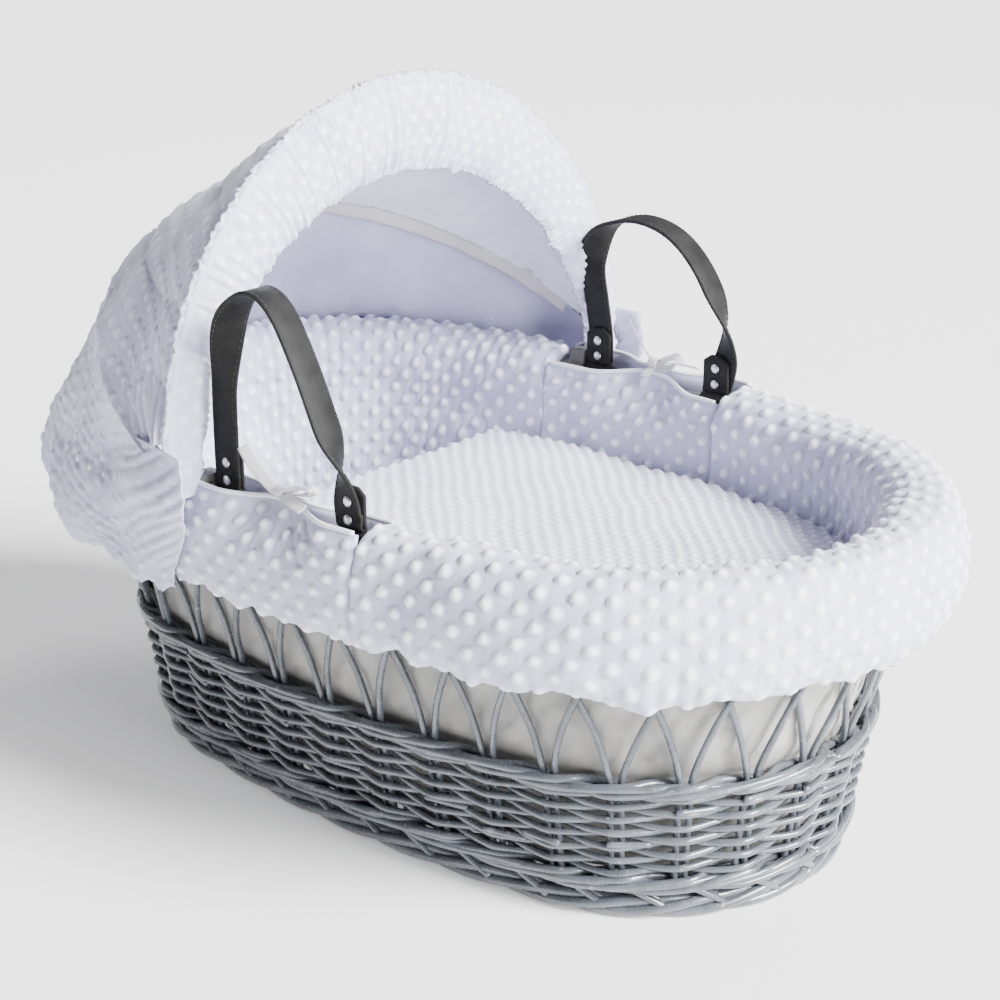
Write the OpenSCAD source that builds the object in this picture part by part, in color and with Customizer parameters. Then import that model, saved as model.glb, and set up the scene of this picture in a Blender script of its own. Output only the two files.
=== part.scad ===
// Wicker sleeping basket with a padded lining, a coverlet, a folding hood and two strap handles.
// The frame is right-handed: +X runs to the foot end, -Y is the near side and +Z is up.
// The floor is z = 0, and x = 0 and y = 0 are the middle of the whole object. Lengths are in mm.

/* [Basket shell] */
// Distance of each rounded end's centre from the middle of the foot
end_x = 165; // [154:11:176]
// Radius of each rounded end of the foot
end_radius = 160; // [156:1:164]
// Lean of the woven wall away from upright, in degrees
wall_lean = 9.8; // [9.4:0.1:10.4]
// Height where the weave ends and the open arches start
band_top = 118; // [116:1:120]
// Height of the middle of the rim
rim_height = 268; // [266:1:272]
// How far the middle of the rim stands out beyond the foot
rim_out = 45; // [44:0.5:46]

/* [Wicker rods] */
// Number of stake pairs round the wall
pair_count = 34; // [28:2:36]
// Radius of a stake
stake_r = 2.7; // [2.4:0.1:2.8]
// Radius of a weaving rod
weaver_r = 2.7; // [2.4:0.1:2.8]
// Number of weaving rows between the two wales
row_count = 12; // [8:1:12]
// Distance between the rods of a stake pair
pair_gap = 6.2; // [6:0.1:7]
// Radius of the heavier wale rods
wale_r = 3.8; // [3.4:0.1:3.9]
// Radius of an arch rod
arch_r = 2.6; // [2.2:0.1:2.7]
// Radius of curvature of an arch rod
arch_bend = 320; // [300:5:360]
// Radius of a rim rod
rim_r = 4.8; // [4.4:0.1:4.8]
// Radius of a foot border rod
foot_r = 5; // [4.6:0.1:5]

/* [Mattress and coverlet] */
// Thickness of the mattress
mattress_h = 34; // [28:1:34]
// Thickness of the mattress cover
cover_t = 1.5; // [1:0.1:2]
// Height of the top of the coverlet
coverlet_top = 225; // [215:1:228]
// Thickness of the coverlet
coverlet_h = 35; // [25:1:40]
// Distance of the coverlet's head edge from the middle of the foot
coverlet_edge = 150; // [120:5:180]

/* [Handles] */
// Width of a handle strap
strap_w = 26; // [24:1:28]
// Thickness of a handle strap
strap_t = 3; // [2.4:0.1:3]
// Distance of each handle leg from the middle of the basket
leg_x = 64; // [60:1:66]
// Height of the near handle's top above the rim's middle
near_rise = 177; // [150:1:180]
// Height of the far handle's top above the rim's middle
far_rise = 153; // [150:1:180]
// Radius of a rivet shank
rivet_r = 1.9; // [1.5:0.1:2]

/* [Hood] */
// Distance of the hood's pivots from the middle of the foot, towards the head
pivot_back = 86; // [84:1:88]
// Height of the hood's pivots
pivot_z = 300; // [300:1:304]
// Radius of the front hoop's wire line
front_hoop_r = 258; // [257.6:0.1:258.6]
// Radius of the rear hoop's wire line
rear_hoop_r = 252; // [251.6:0.1:252.4]
// Radius of the hoop wire
wire_r = 2.5; // [2:0.1:2.5]
// Lean of the front hoop towards the head, in degrees
front_lean = 2; // [0:1:4]
// Lean of the rear hoop towards the head, in degrees
rear_lean = 60; // [56:1:64]
// How far the roof cloth stands out between the hoops
roof_rise = 12; // [8:1:14]
// Sag of the lining between the hoops
lining_sag = 13; // [10:1:15]
// Thickness of the hood cloth
cloth_t = 1.5; // [1:0.1:1.5]
// Radius of the round inner edge of the front frill
frill_inner_r = 231; // [226:1:234]
// Thickness of the front frill
frill_t = 2.5; // [1.5:0.1:2.5]

/* [Hidden] */
smooth = 240;
round_fn = 24;
gap = 0.3;
// Four-centre oval: round ends joined to flatter sides with no kink.
// Ends and sides meet on lines that run 11 across for 60 up, which is 61 along.
meet_across = 11;
meet_up = 60;
meet_along = 61;
side_angle = atan(meet_across / meet_up);
end_angle = 180 - 2 * side_angle;
side_drop = end_x * meet_up / meet_across;
side_radius = end_radius + end_x * meet_along / meet_across;
base_length = 2 * (end_x + end_radius);
base_width = 2 * (side_radius - side_drop);
// Arc lengths of a quarter of the oval, at the offset where the rods are spaced.
spacing_out = 19;
end_ref = end_radius + spacing_out;
side_ref = side_radius + spacing_out;
end_run = end_ref * end_angle / 2 * PI / 180;
side_run = side_ref * side_angle * PI / 180;
quarter = end_run + side_run;
whole_run = 4 * quarter;
pair_step = whole_run / pair_count;
// Middle line of the wall, as an offset from the foot oval.
wall_foot = -9.8;
arch_slope = (rim_out - wall_foot - band_top * tan(wall_lean)) / (rim_height - band_top);
arch_lean = atan(arch_slope);
// Levels of the wicker parts.
border_z = 4.6;
stake_bottom = 20.2;
stake_top = 117;
foot_wale_z = 31.5;
top_wale_z = 113.2;
row_low = 40.5;
row_step = (top_wale_z - 7.8 - row_low) / (row_count - 1);
arch_bottom = band_top + 0.6;
arch_top = rim_height - 13.5;
layer_gap = arch_r + 0.3;
row_gap = stake_r + weaver_r + 0.2;
wale_gap = stake_r + wale_r + gap;
bundle_r = rim_r * 1.4142 + rim_r + 0.1;
rim_pitch = rim_r + 0.05;
// Woven base.
base_z = 28;
stick_r = 3.5;
long_stick_r = 2.2;
stick_out = -22;
base_rod_r = 2;
base_out = -19;
base_ring_step = 8;
base_ring_count = 16;
stick_pitch = 50;
// Lining, mattress and padding.
floor_z = 36.3;
cloth = 1.2;
mattress_z = 38;
mattress_out = -17.6;
mattress_top = mattress_z + mattress_h;
pad_z = mattress_top + 0.8;
pad_wall_z = rim_height - 43;
slot_fore = 4.3;
slot_aft = 5.15;
seam_angle = 0.1;
flap_top = rim_height + 16;
flap_hem = rim_height - 61;
// Handles.
loop_r = bundle_r + 1.2;
handle_y = (side_radius + rim_out) * cos(asin(leg_x / (side_radius + rim_out))) - side_drop;
layer_t = strap_t + 0.2;
twist_z = 52;
rivet_z = [24, 38];
rivet_head_r = 4.2;
rivet_head_t = 1.3;
// Hood.
pivot_r = 3;
eye_r = 6;
eye_w = 5;
rear_eye_y = rear_hoop_r;
front_eye_y = front_hoop_r;
clip_angle = asin(pivot_back / (side_radius + rim_out));
frill_drop = 45;
frill_low = 22;
cloth_steps = 28;
panel_run = end_run + 0.88 * side_run / 2 + 5;
panel_out = 80;
panel_bulge = 105;
elastic_z = 200;
// The whole object is moved so that x = 0 is its middle.
foot_reach = base_length / 2 + 76;
head_reach = base_length / 2 + panel_bulge + cloth_t;
centre_shift = (head_reach - foot_reach) / 2;

wicker_grey = [0.45, 0.50, 0.56];
cloth_white = [0.93, 0.93, 0.95];
cream = [0.90, 0.86, 0.78];
strap_grey = [0.33, 0.32, 0.32];
nickel = [0.75, 0.75, 0.76];
dark_steel = [0.25, 0.26, 0.28];

// ---- Positions on the oval ----

function wall(z) = z < band_top
    ? wall_foot + z * tan(wall_lean)
    : wall_foot + band_top * tan(wall_lean) + (z - band_top) * arch_slope;

function wrapped(t) = t - floor(t / whole_run) * whole_run;
function quadrant(t) = floor(wrapped(t) / quarter);
function in_quarter(t) = quadrant(t) % 2 == 0
    ? wrapped(t) - quadrant(t) * quarter
    : (quadrant(t) + 1) * quarter - wrapped(t);
function turn(t) = in_quarter(t) < end_run
    ? in_quarter(t) / end_ref * 180 / PI
    : 90 - (quarter - in_quarter(t)) / side_ref * 180 / PI;
function sign_x(t) = (quadrant(t) == 0 || quadrant(t) == 3) ? 1 : -1;
function sign_y(t) = quadrant(t) < 2 ? 1 : -1;
function heading(t) = atan2(sign_y(t) * sin(turn(t)), sign_x(t) * cos(turn(t)));
function on_end(t) = in_quarter(t) < end_run;
// The point a run t round the oval, at an offset out from the foot.
function spot(t, out) = on_end(t)
    ? [sign_x(t) * (end_x + (end_radius + out) * cos(turn(t))),
       sign_y(t) * (end_radius + out) * sin(turn(t))]
    : [sign_x(t) * (side_radius + out) * cos(turn(t)),
       sign_y(t) * ((side_radius + out) * sin(turn(t)) - side_drop)];

module placed() {
    translate([centre_shift, 0, 0]) children();
}

// ---- Sweeps round the oval of a profile drawn as (offset, height) ----
// Each sweep is a full turn cut to its sector, and the sectors also cut off what is below the floor.
module end_sector() {
    linear_extrude(height = 1000) polygon([
        [end_x, 0], [end_x + 5 * meet_across, 5 * meet_up], [1000, 5 * meet_up],
        [1000, -5 * meet_up], [end_x + 5 * meet_across, -5 * meet_up]]);
}

module end_sweep(side) {
    mirror([side > 0 ? 0 : 1, 0, 0]) intersection() {
        translate([end_x, 0, 0]) rotate_extrude($fn = smooth)
            translate([end_radius, 0]) children();
        end_sector();
    }
}

// Angles run from the middle of the side towards the foot end.
function sector_edge(a) = abs(a) < side_angle
    ? [25 * meet_along * sin(a), 25 * meet_along * cos(a) - side_drop]
    : [sign(a) * 25 * meet_across, 25 * meet_up - side_drop];

module side_sweep(side, low, high) {
    mirror([0, side > 0 ? 0 : 1, 0]) intersection() {
        translate([0, -side_drop, 0]) rotate_extrude($fn = smooth)
            translate([side_radius, 0]) children();
        linear_extrude(height = 1000)
            polygon([[0, -side_drop], sector_edge(high), sector_edge(low)]);
    }
}

module around() {
    end_sweep(1) children();
    side_sweep(1, -side_angle, side_angle) children();
    end_sweep(-1) children();
    side_sweep(-1, -side_angle, side_angle) children();
}

module foot_half() {
    end_sweep(1) children();
    side_sweep(1, slot_fore + seam_angle, side_angle) children();
    side_sweep(-1, slot_fore + seam_angle, side_angle) children();
}

module head_half() {
    end_sweep(-1) children();
    side_sweep(1, -side_angle, -slot_aft - seam_angle) children();
    side_sweep(-1, -side_angle, -slot_aft - seam_angle) children();
}

module ring(out, z, r) {
    around() translate([out, z]) circle(r = r, $fn = round_fn);
}

module oval(out) {
    tangent_x = (side_radius + out) * sin(side_angle);
    translate([end_x, 0]) circle(r = end_radius + out, $fn = smooth);
    translate([-end_x, 0]) circle(r = end_radius + out, $fn = smooth);
    intersection() {
        translate([0, -side_drop]) circle(r = side_radius + out, $fn = 4 * smooth);
        translate([0, side_drop]) circle(r = side_radius + out, $fn = 4 * smooth);
        square([2 * tangent_x, base_width + 2 * out + 2], center = true);
    }
}

// ---- Wicker ----

module foot_border() color(wicker_grey) placed() {
    ring(-foot_r, border_z, foot_r);
    ring(-3 * foot_r - 1, border_z, foot_r);
    ring(-2 * foot_r - 0.5, border_z + 9.7, foot_r);
}

module base_stick_line(x) {
    half = abs(x) > end_x
        ? sqrt(pow(end_radius + stick_out, 2) - pow(abs(x) - end_x, 2))
        : sqrt(pow(side_radius + stick_out, 2) - x * x) - side_drop;
    difference() {
        translate([x, half, base_z]) rotate([90, 0, 0])
            cylinder(r = stick_r, h = 2 * half, $fn = round_fn);
        for (y = [-36, 0, 36])
            translate([x - 10, y, base_z]) rotate([0, 90, 0])
                cylinder(r = long_stick_r + 0.1, h = 20, $fn = round_fn);
    }
}

module base_cross_sticks() color(wicker_grey) placed() {
    for (k = [-5:5]) base_stick_line(k * stick_pitch);
}

module base_long_sticks() color(wicker_grey) placed() {
    for (y = [-36, 0, 36])
        translate([-base_length / 2 + 24, y, base_z]) rotate([0, 90, 0])
            cylinder(r = long_stick_r, h = base_length - 48, $fn = round_fn);
}

module base_weave() color(wicker_grey) placed() {
    lift = stick_r + base_rod_r + 0.3;
    for (k = [0:base_ring_count - 1])
        ring(base_out - k * base_ring_step, base_z + (k % 2 == 0 ? lift : -lift), base_rod_r);
}

module stakes() color(wicker_grey) placed() {
    tall = (stake_top - stake_bottom) / cos(wall_lean);
    for (k = [0:pair_count - 1], s = [-0.5, 0.5]) {
        t = (k + 0.5) * pair_step;
        p = spot(t, wall(stake_bottom));
        translate([p[0], p[1], stake_bottom]) rotate([0, wall_lean, heading(t)])
            translate([0, s * pair_gap, 0]) cylinder(r = stake_r, h = tall, $fn = round_fn);
    }
}

module foot_wale() color(wicker_grey) placed() {
    ring(wall(foot_wale_z) + wale_gap, foot_wale_z, wale_r);
    ring(wall(foot_wale_z) - wale_gap, foot_wale_z, wale_r);
}

module side_weave() color(wicker_grey) placed() {
    for (k = [0:row_count - 1]) {
        z = row_low + k * row_step;
        ring(wall(z) + (k % 2 == 0 ? row_gap : -row_gap), z, weaver_r);
    }
}

module top_wale() color(wicker_grey) placed() {
    ring(wall(top_wale_z) + wale_gap, top_wale_z, wale_r);
    ring(wall(top_wale_z) - wale_gap, top_wale_z, wale_r);
}

// One arch rod: leans away from its stake pair, then curves upright under the rim.
module arch_rod(t, lean) {
    length = (arch_top - arch_bottom) / cos(arch_lean);
    sweep = asin(length / arch_bend);
    run = arch_bend * (1 - cos(sweep));
    middle = t + lean * run / 2;
    mid_z = (arch_top + arch_bottom) / 2;
    p = spot(middle, wall(mid_z));
    top = spot(t + lean * run, rim_out);
    under_strap = abs(abs(top[0]) - leg_x) < strap_w / 2 + 5;
    under_clip = abs(top[0] + pivot_back) < 13;
    short = (under_strap || under_clip) ? 6 / arch_bend * 180 / PI : 0;
    translate([p[0], p[1], mid_z]) rotate([90 + arch_lean, 0, heading(middle) + 90])
        mirror([lean > 0 ? 0 : 1, 0, 0])
            translate([run / 2 - arch_bend, length / 2, lean * layer_gap])
                rotate([0, 0, -sweep]) rotate_extrude(angle = sweep - short, $fn = smooth)
                    translate([arch_bend, 0]) circle(r = arch_r, $fn = round_fn);
}

module arch_rods() color(wicker_grey) placed() {
    for (k = [0:pair_count - 1]) {
        arch_rod((k + 0.5) * pair_step + pair_gap / 2, 1);
        arch_rod((k + 0.5) * pair_step - pair_gap / 2, -1);
    }
}

module rim_border() color(wicker_grey) placed() {
    for (side = [-1, 1], up = [-1, 1])
        ring(rim_out + side * rim_pitch, rim_height + up * rim_pitch, rim_r);
}

// ---- Lining, mattress and coverlet ----

module liner() color(cream) placed() {
    around() polygon([
        [-30, floor_z], [-16.2, floor_z], [-2.2, 109], [-1.6, 117], [2.5, 125],
        [26.5, pad_wall_z], [29, rim_height - 20], [27.8, rim_height - 20],
        [25.3, pad_wall_z], [1.3, 125], [-2.8, 117], [-3.4, 109],
        [-17.3, floor_z + cloth], [-30, floor_z + cloth]]);
    translate([0, 0, floor_z]) linear_extrude(height = cloth) oval(-29);
}

module mattress_cover() color(cloth_white) placed() {
    difference() {
        translate([0, 0, mattress_z]) linear_extrude(height = mattress_h) oval(mattress_out);
        translate([0, 0, mattress_z + cover_t])
            linear_extrude(height = mattress_h - 2 * cover_t) oval(mattress_out - cover_t);
    }
}

module mattress_core() color(cream) placed() {
    translate([0, 0, mattress_z + cover_t + gap])
        linear_extrude(height = mattress_h - 2 * cover_t - 2 * gap)
            oval(mattress_out - cover_t - gap);
}

// Inner face of the padding at a height.
function pad_face(z) = -19 + (z - 75) * 29 / 150;

module coverlet() color(cloth_white) placed() {
    low = coverlet_top - coverlet_h;
    intersection() {
        union() {
            around() polygon([
                [-60, low], [pad_face(low) - 0.6, low],
                [pad_face(coverlet_top) - 0.6, coverlet_top], [-60, coverlet_top]]);
            translate([0, 0, low]) linear_extrude(height = coverlet_h) oval(-59);
        }
        translate([-coverlet_edge, -base_width, low - 10])
            cube([base_length, 2 * base_width, coverlet_h + 20]);
    }
}

// ---- Padded surround ----

module wrap_profile() {
    polygon([
        [pad_face(pad_z), pad_z], [pad_face(pad_wall_z), pad_wall_z], [12, rim_height - 6],
        [18, rim_height + 14], [32, rim_height + 23], [48, rim_height + 25],
        [62, rim_height + 21], [72, rim_height + 4], [76, rim_height - 23],
        [74, rim_height - 53], [70, flap_hem], [64, flap_hem], [60, pad_wall_z],
        [59.5, rim_height - 6], [57, rim_height + 8], [45, rim_height + 13.5],
        [33, rim_height + 9], [28, rim_height - 6], [26.6, rim_height - 19],
        [24.6, pad_wall_z], [0.5, 126], [-3.4, 118], [-4, 112],
        [pad_face(pad_z) + 7.6, pad_z]]);
}

module pad_profile() {
    polygon([
        [pad_face(pad_z), pad_z], [pad_face(pad_wall_z), pad_wall_z], [11, rim_height - 6],
        [12, rim_height + 14], [18, flap_top], [24, rim_height + 8], [27, rim_height - 10],
        [26.6, rim_height - 19], [24.6, pad_wall_z], [0.5, 126], [-3.4, 118], [-4, 112],
        [pad_face(pad_z) + 7.6, pad_z]]);
}

module flap_profile() {
    polygon([
        [64, flap_hem], [60.5, pad_wall_z], [62, rim_height - 6], [64.5, rim_height + 9],
        [70, flap_top], [75, rim_height + 6], [76, rim_height - 23], [74, rim_height - 53],
        [70, flap_hem]]);
}

module bumper_foot() color(cloth_white) placed() foot_half() wrap_profile();
module bumper_head() color(cloth_white) placed() head_half() wrap_profile();

module side_pad(side) {
    side_sweep(side, -slot_aft, slot_fore) pad_profile();
}

module side_flap(side) {
    side_sweep(side, -slot_aft, slot_fore) flap_profile();
}

module side_pad_near() color(cloth_white) placed() side_pad(-1);
module side_pad_far() color(cloth_white) placed() side_pad(1);
module side_flap_near() color(cloth_white) placed() side_flap(-1);
module side_flap_far() color(cloth_white) placed() side_flap(1);

// Ribbon over the slot, with a flat bow of two loops and two tails on top.
module ribbon_tie(side) {
    y = side * (base_width / 2 + rim_out);
    z = rim_height + 19;
    side_sweep(side, -0.3, 0.3) polygon([
        [13, z - 0.6], [20, z], [45, z + 1], [68, z], [76, z - 1.6],
        [76, z + 0.4], [68, z + 2], [45, z + 3], [20, z + 2], [13, z + 1.4]]);
    translate([0, y, z]) cylinder(r = 4.5, h = 7, $fn = round_fn);
    for (s = [-1, 1]) {
        translate([s * 13, y, z + 3.2]) difference() {
            cylinder(r = 10, h = 3.4, $fn = round_fn);
            translate([0, 0, -1]) cylinder(r = 8.4, h = 6, $fn = round_fn);
        }
        translate([0, y, z + 2.6]) rotate([0, 0, side * (90 + s * 28)])
            translate([0, -4, 0]) cube([26, 8, 1.2]);
    }
}

module ribbon_tie_near() color(cloth_white) placed() ribbon_tie(-1);
module ribbon_tie_far() color(cloth_white) placed() ribbon_tie(1);

// ---- Handles, drawn about the rim's middle line ----

module strap(rise) {
    arch_z = rise - leg_x - strap_t / 2;
    mid_y = -layer_t + strap_t / 2;
    for (s = [-1, 1]) translate([s * leg_x, 0, 0]) difference() {
        union() {
            translate([-strap_w / 2, 0, 0]) rotate([90, 0, 90])
                linear_extrude(height = strap_w) difference() {
                    circle(r = loop_r + strap_t, $fn = 48);
                    circle(r = loop_r, $fn = 48);
                }
            translate([-strap_w / 2, -layer_t, loop_r + 0.3])
                cube([strap_w, strap_t, twist_z - loop_r - 0.3]);
            translate([0, layer_t, 0]) rotate([90, 0, 0]) linear_extrude(height = strap_t)
                polygon([
                    [-strap_w / 2, loop_r + 0.3], [strap_w / 2, loop_r + 0.3],
                    [strap_w / 2, twist_z - 8], [0, twist_z], [-strap_w / 2, twist_z - 8]]);
            translate([0, mid_y, twist_z])
                linear_extrude(height = arch_z - twist_z, twist = 90, slices = 10)
                    square([strap_w, strap_t], center = true);
        }
        for (z = rivet_z) translate([0, 10, z]) rotate([90, 0, 0])
            cylinder(r = rivet_r + 0.05, h = 20, $fn = round_fn);
    }
    translate([0, mid_y, arch_z]) rotate([90, 0, 0])
        rotate_extrude(angle = 180, $fn = 96)
            translate([leg_x - strap_t / 2, -strap_w / 2]) square([strap_t, strap_w]);
}

module rivets() {
    seat = layer_t + 0.02;
    for (s = [-1, 1], z = rivet_z) translate([s * leg_x, 0, z]) rotate([90, 0, 0]) {
        translate([0, 0, -seat - 0.1]) cylinder(r = rivet_r, h = 2 * seat + 0.2, $fn = round_fn);
        translate([0, 0, seat]) cylinder(r = rivet_head_r, h = rivet_head_t, $fn = round_fn);
        translate([0, 0, -seat - rivet_head_t])
            cylinder(r = rivet_head_r, h = rivet_head_t, $fn = round_fn);
    }
}

// The near handle turns its tab to the inside, and the far one is its mirror image.
module at_rim(side) {
    mirror([0, side > 0 ? 1 : 0, 0]) translate([0, -handle_y, rim_height]) children();
}

module strap_near() color(strap_grey) placed() at_rim(-1) strap(near_rise);
module strap_far() color(strap_grey) placed() at_rim(1) strap(far_rise);
module rivets_near() color(nickel) placed() at_rim(-1) rivets();
module rivets_far() color(nickel) placed() at_rim(1) rivets();

// ---- Hood ----

// Clip round the rim with an ear that carries the hood's pivot.
module hood_clip(side) {
    ear_y = 240.5;
    ear_w = 8.3;
    side_sweep(side, -clip_angle - 0.36, -clip_angle + 0.36) {
        difference() {
            union() {
                translate([rim_out, rim_height]) circle(r = bundle_r + 3.5, $fn = 48);
                translate([rim_out - 4, rim_height]) square([8, pivot_z - rim_height - 9]);
                translate([rim_out - 4, pivot_z - 12]) square([30, 6]);
            }
            translate([rim_out, rim_height]) circle(r = bundle_r + 0.4, $fn = 48);
        }
    }
    difference() {
        union() {
            translate([-pivot_back - 7, side * (ear_y + ear_w / 2) - ear_w / 2, pivot_z - 12])
                cube([14, ear_w, 12]);
            translate([-pivot_back, side * (ear_y + ear_w / 2) + ear_w / 2, pivot_z])
                rotate([90, 0, 0]) cylinder(r = 7, h = ear_w, $fn = 48);
        }
        translate([-pivot_back, side * ear_y + 30, pivot_z]) rotate([90, 0, 0])
            cylinder(r = pivot_r + 0.02, h = 60, $fn = 48);
    }
}

module hood_clips() color(dark_steel) placed() {
    hood_clip(-1);
    hood_clip(1);
}

module hood_pivot_pins() color(nickel) placed() {
    for (side = [-1, 1])
        mirror([0, side > 0 ? 1 : 0, 0]) translate([-pivot_back, 0, pivot_z])
            rotate([90, 0, 0]) {
                translate([0, 0, 240.5]) cylinder(r = pivot_r, h = 21.5, $fn = 48);
                translate([0, 0, 261.2]) cylinder(r = eye_r - 0.5, h = 2, $fn = 48);
            }
}

// Turns what is drawn in the (Y, height) plane of a hoop to that hoop's lean.
module in_hoop_plane(lean) {
    translate([-pivot_back, 0, pivot_z]) rotate([0, -lean, 0]) rotate([90, 0, 90]) children();
}

module hoop(r, eye_y, lean) {
    start = asin((eye_r - 1) / r);
    difference() {
        union() {
            in_hoop_plane(lean) rotate([0, 0, start])
                rotate_extrude(angle = 180 - 2 * start, $fn = smooth)
                    translate([r, 0]) circle(r = wire_r, $fn = round_fn);
            for (side = [-1, 1])
                translate([-pivot_back, side * eye_y + eye_w / 2, pivot_z]) rotate([90, 0, 0])
                    cylinder(r = eye_r, h = eye_w, $fn = 48);
        }
        translate([-pivot_back, 300, pivot_z]) rotate([90, 0, 0])
            cylinder(r = pivot_r + 0.05, h = 600, $fn = 48);
    }
}

module rear_hoop() color(dark_steel) placed() hoop(rear_hoop_r, rear_eye_y, rear_lean);
module front_hoop() color(dark_steel) placed() hoop(front_hoop_r, front_eye_y, front_lean);

module hoop_tape() color(cream) placed() {
    in_hoop_plane(rear_lean) rotate([0, 0, 12]) rotate_extrude(angle = 156, $fn = smooth)
        translate([rear_hoop_r - wire_r - 4.2, -9]) square([1.2, 18]);
}

// Gathered frill: a crescent that narrows down both sides of the front hoop.
module hood_frill() color(cloth_white) placed() {
    in_hoop_plane(front_lean) translate([0, 0, -frill_t / 2])
        linear_extrude(height = frill_t) intersection() {
            difference() {
                circle(r = front_hoop_r - wire_r - 0.7, $fn = smooth);
                translate([0, -frill_drop]) circle(r = frill_inner_r, $fn = smooth);
            }
            translate([-300, frill_low]) square([600, 300]);
        }
}

function hoop_point(r, lean, a) = [
    -pivot_back - r * sin(a) * sin(lean), r * cos(a), pivot_z + r * sin(a) * cos(lean)];
function mix(p, q, s) = p * (1 - s) + q * s;
function roof_point(a, s, front_r, rear_r, sag) =
    mix(hoop_point(front_r, front_lean, a), hoop_point(rear_r, rear_lean, a), s)
    - sag * sin(180 * s) * sin(a) * [-sin(31), 0, cos(31)];

// Closed sheet between an outer and an inner grid of points, each rows by columns.
module sheet(outer, inner, nu, nv) {
    w = nv + 1;
    n = (nu + 1) * w;
    faces = concat(
        [for (i = [0:nu - 1], j = [0:nv - 1]) [i * w + j, i * w + j + 1, (i + 1) * w + j + 1]],
        [for (i = [0:nu - 1], j = [0:nv - 1]) [i * w + j, (i + 1) * w + j + 1, (i + 1) * w + j]],
        [for (i = [0:nu - 1], j = [0:nv - 1])
            [n + i * w + j, n + (i + 1) * w + j + 1, n + i * w + j + 1]],
        [for (i = [0:nu - 1], j = [0:nv - 1])
            [n + i * w + j, n + (i + 1) * w + j, n + (i + 1) * w + j + 1]],
        [for (i = [0:nu - 1]) [i * w, (i + 1) * w, n + (i + 1) * w]],
        [for (i = [0:nu - 1]) [i * w, n + (i + 1) * w, n + i * w]],
        [for (i = [0:nu - 1]) [i * w + nv, n + (i + 1) * w + nv, (i + 1) * w + nv]],
        [for (i = [0:nu - 1]) [i * w + nv, n + i * w + nv, n + (i + 1) * w + nv]],
        [for (j = [0:nv - 1]) [j, n + j + 1, j + 1]],
        [for (j = [0:nv - 1]) [j, n + j, n + j + 1]],
        [for (j = [0:nv - 1]) [nu * w + j, nu * w + j + 1, n + nu * w + j + 1]],
        [for (j = [0:nv - 1]) [nu * w + j, n + nu * w + j + 1, n + nu * w + j]]);
    polyhedron(points = concat(outer, inner), faces = faces);
}

module roof_sheet(front_r, rear_r, first, last, sag) {
    rows = 5;
    grid = function(extra) [for (i = [0:cloth_steps], j = [0:rows]) roof_point(
        8 + 164 * i / cloth_steps, first + (last - first) * j / rows,
        front_r + extra, rear_r + extra, sag)];
    sheet(grid(cloth_t), grid(0), cloth_steps, rows);
}

module hood_roof() color(cloth_white) placed()
    roof_sheet(front_hoop_r + wire_r + 0.9, rear_hoop_r + wire_r + 1.5, 0, 0.985, -roof_rise);

module hood_lining() color(cloth_white) placed()
    roof_sheet(front_hoop_r - wire_r - 2.5, rear_hoop_r - wire_r - 9, 0.07, 0.94, lining_sag);

// Back panel levels from the rear hoop down to the hem: height, offset at the sides and at the tip.
function panel_level(j) = [
    [pivot_z, panel_out, 62], [pivot_z - 25, panel_out, 90], [pivot_z - 50, panel_out, 102],
    [pivot_z - 70, panel_out, panel_bulge], [pivot_z - 86, panel_out, 96],
    [elastic_z + 3, panel_out, panel_out]][j];
function panel_point(a, j, extra) = j == 0
    ? hoop_point(rear_hoop_r + wire_r + 1.5 + extra, rear_lean, a)
    : let (
        level = panel_level(j - 1),
        swell = pow(sin((a - 12) * 180 / 156), 2),
        p = spot(2 * quarter + panel_run * (a - 90) / 78, extra + level[1] + (level[2] - level[1]) * swell))
      [p[0], p[1], level[0] + (j == 1 ? 12 * swell : 0)];

module hood_back_panel() color(cloth_white) placed() {
    grid = function(extra) [for (i = [0:cloth_steps], j = [0:6])
        panel_point(12 + 156 * i / cloth_steps, j, extra)];
    sheet(grid(cloth_t), grid(0), cloth_steps, 6);
}

module hood_elastic() color(cream) placed() {
    head_half() translate([panel_out - 2, elastic_z]) square([1.4, 7]);
}

foot_border();
base_cross_sticks();
base_long_sticks();
base_weave();
stakes();
foot_wale();
side_weave();
top_wale();
arch_rods();
rim_border();
liner();
mattress_cover();
mattress_core();
coverlet();
bumper_foot();
bumper_head();
side_pad_near();
side_pad_far();
side_flap_near();
side_flap_far();
ribbon_tie_near();
ribbon_tie_far();
hood_clips();
hood_pivot_pins();
rear_hoop();
hoop_tape();
front_hoop();
hood_frill();
hood_roof();
hood_lining();
hood_back_panel();
hood_elastic();
strap_near();
strap_far();
rivets_near();
rivets_far();
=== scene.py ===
"""Looks of a wicker sleeping basket with padded lining, folding hood and strap handles, on the CAD frame.

Shapes are worked out in millimetres, in the record's frame, and written to meshes in metres.
A place on the basket wall is (t, out, z): the run round the oval, the offset out from the foot, the height.
"""
from functools import partial
from math import asin, atan, cos, pi, radians, sin, sqrt, tan

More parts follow.
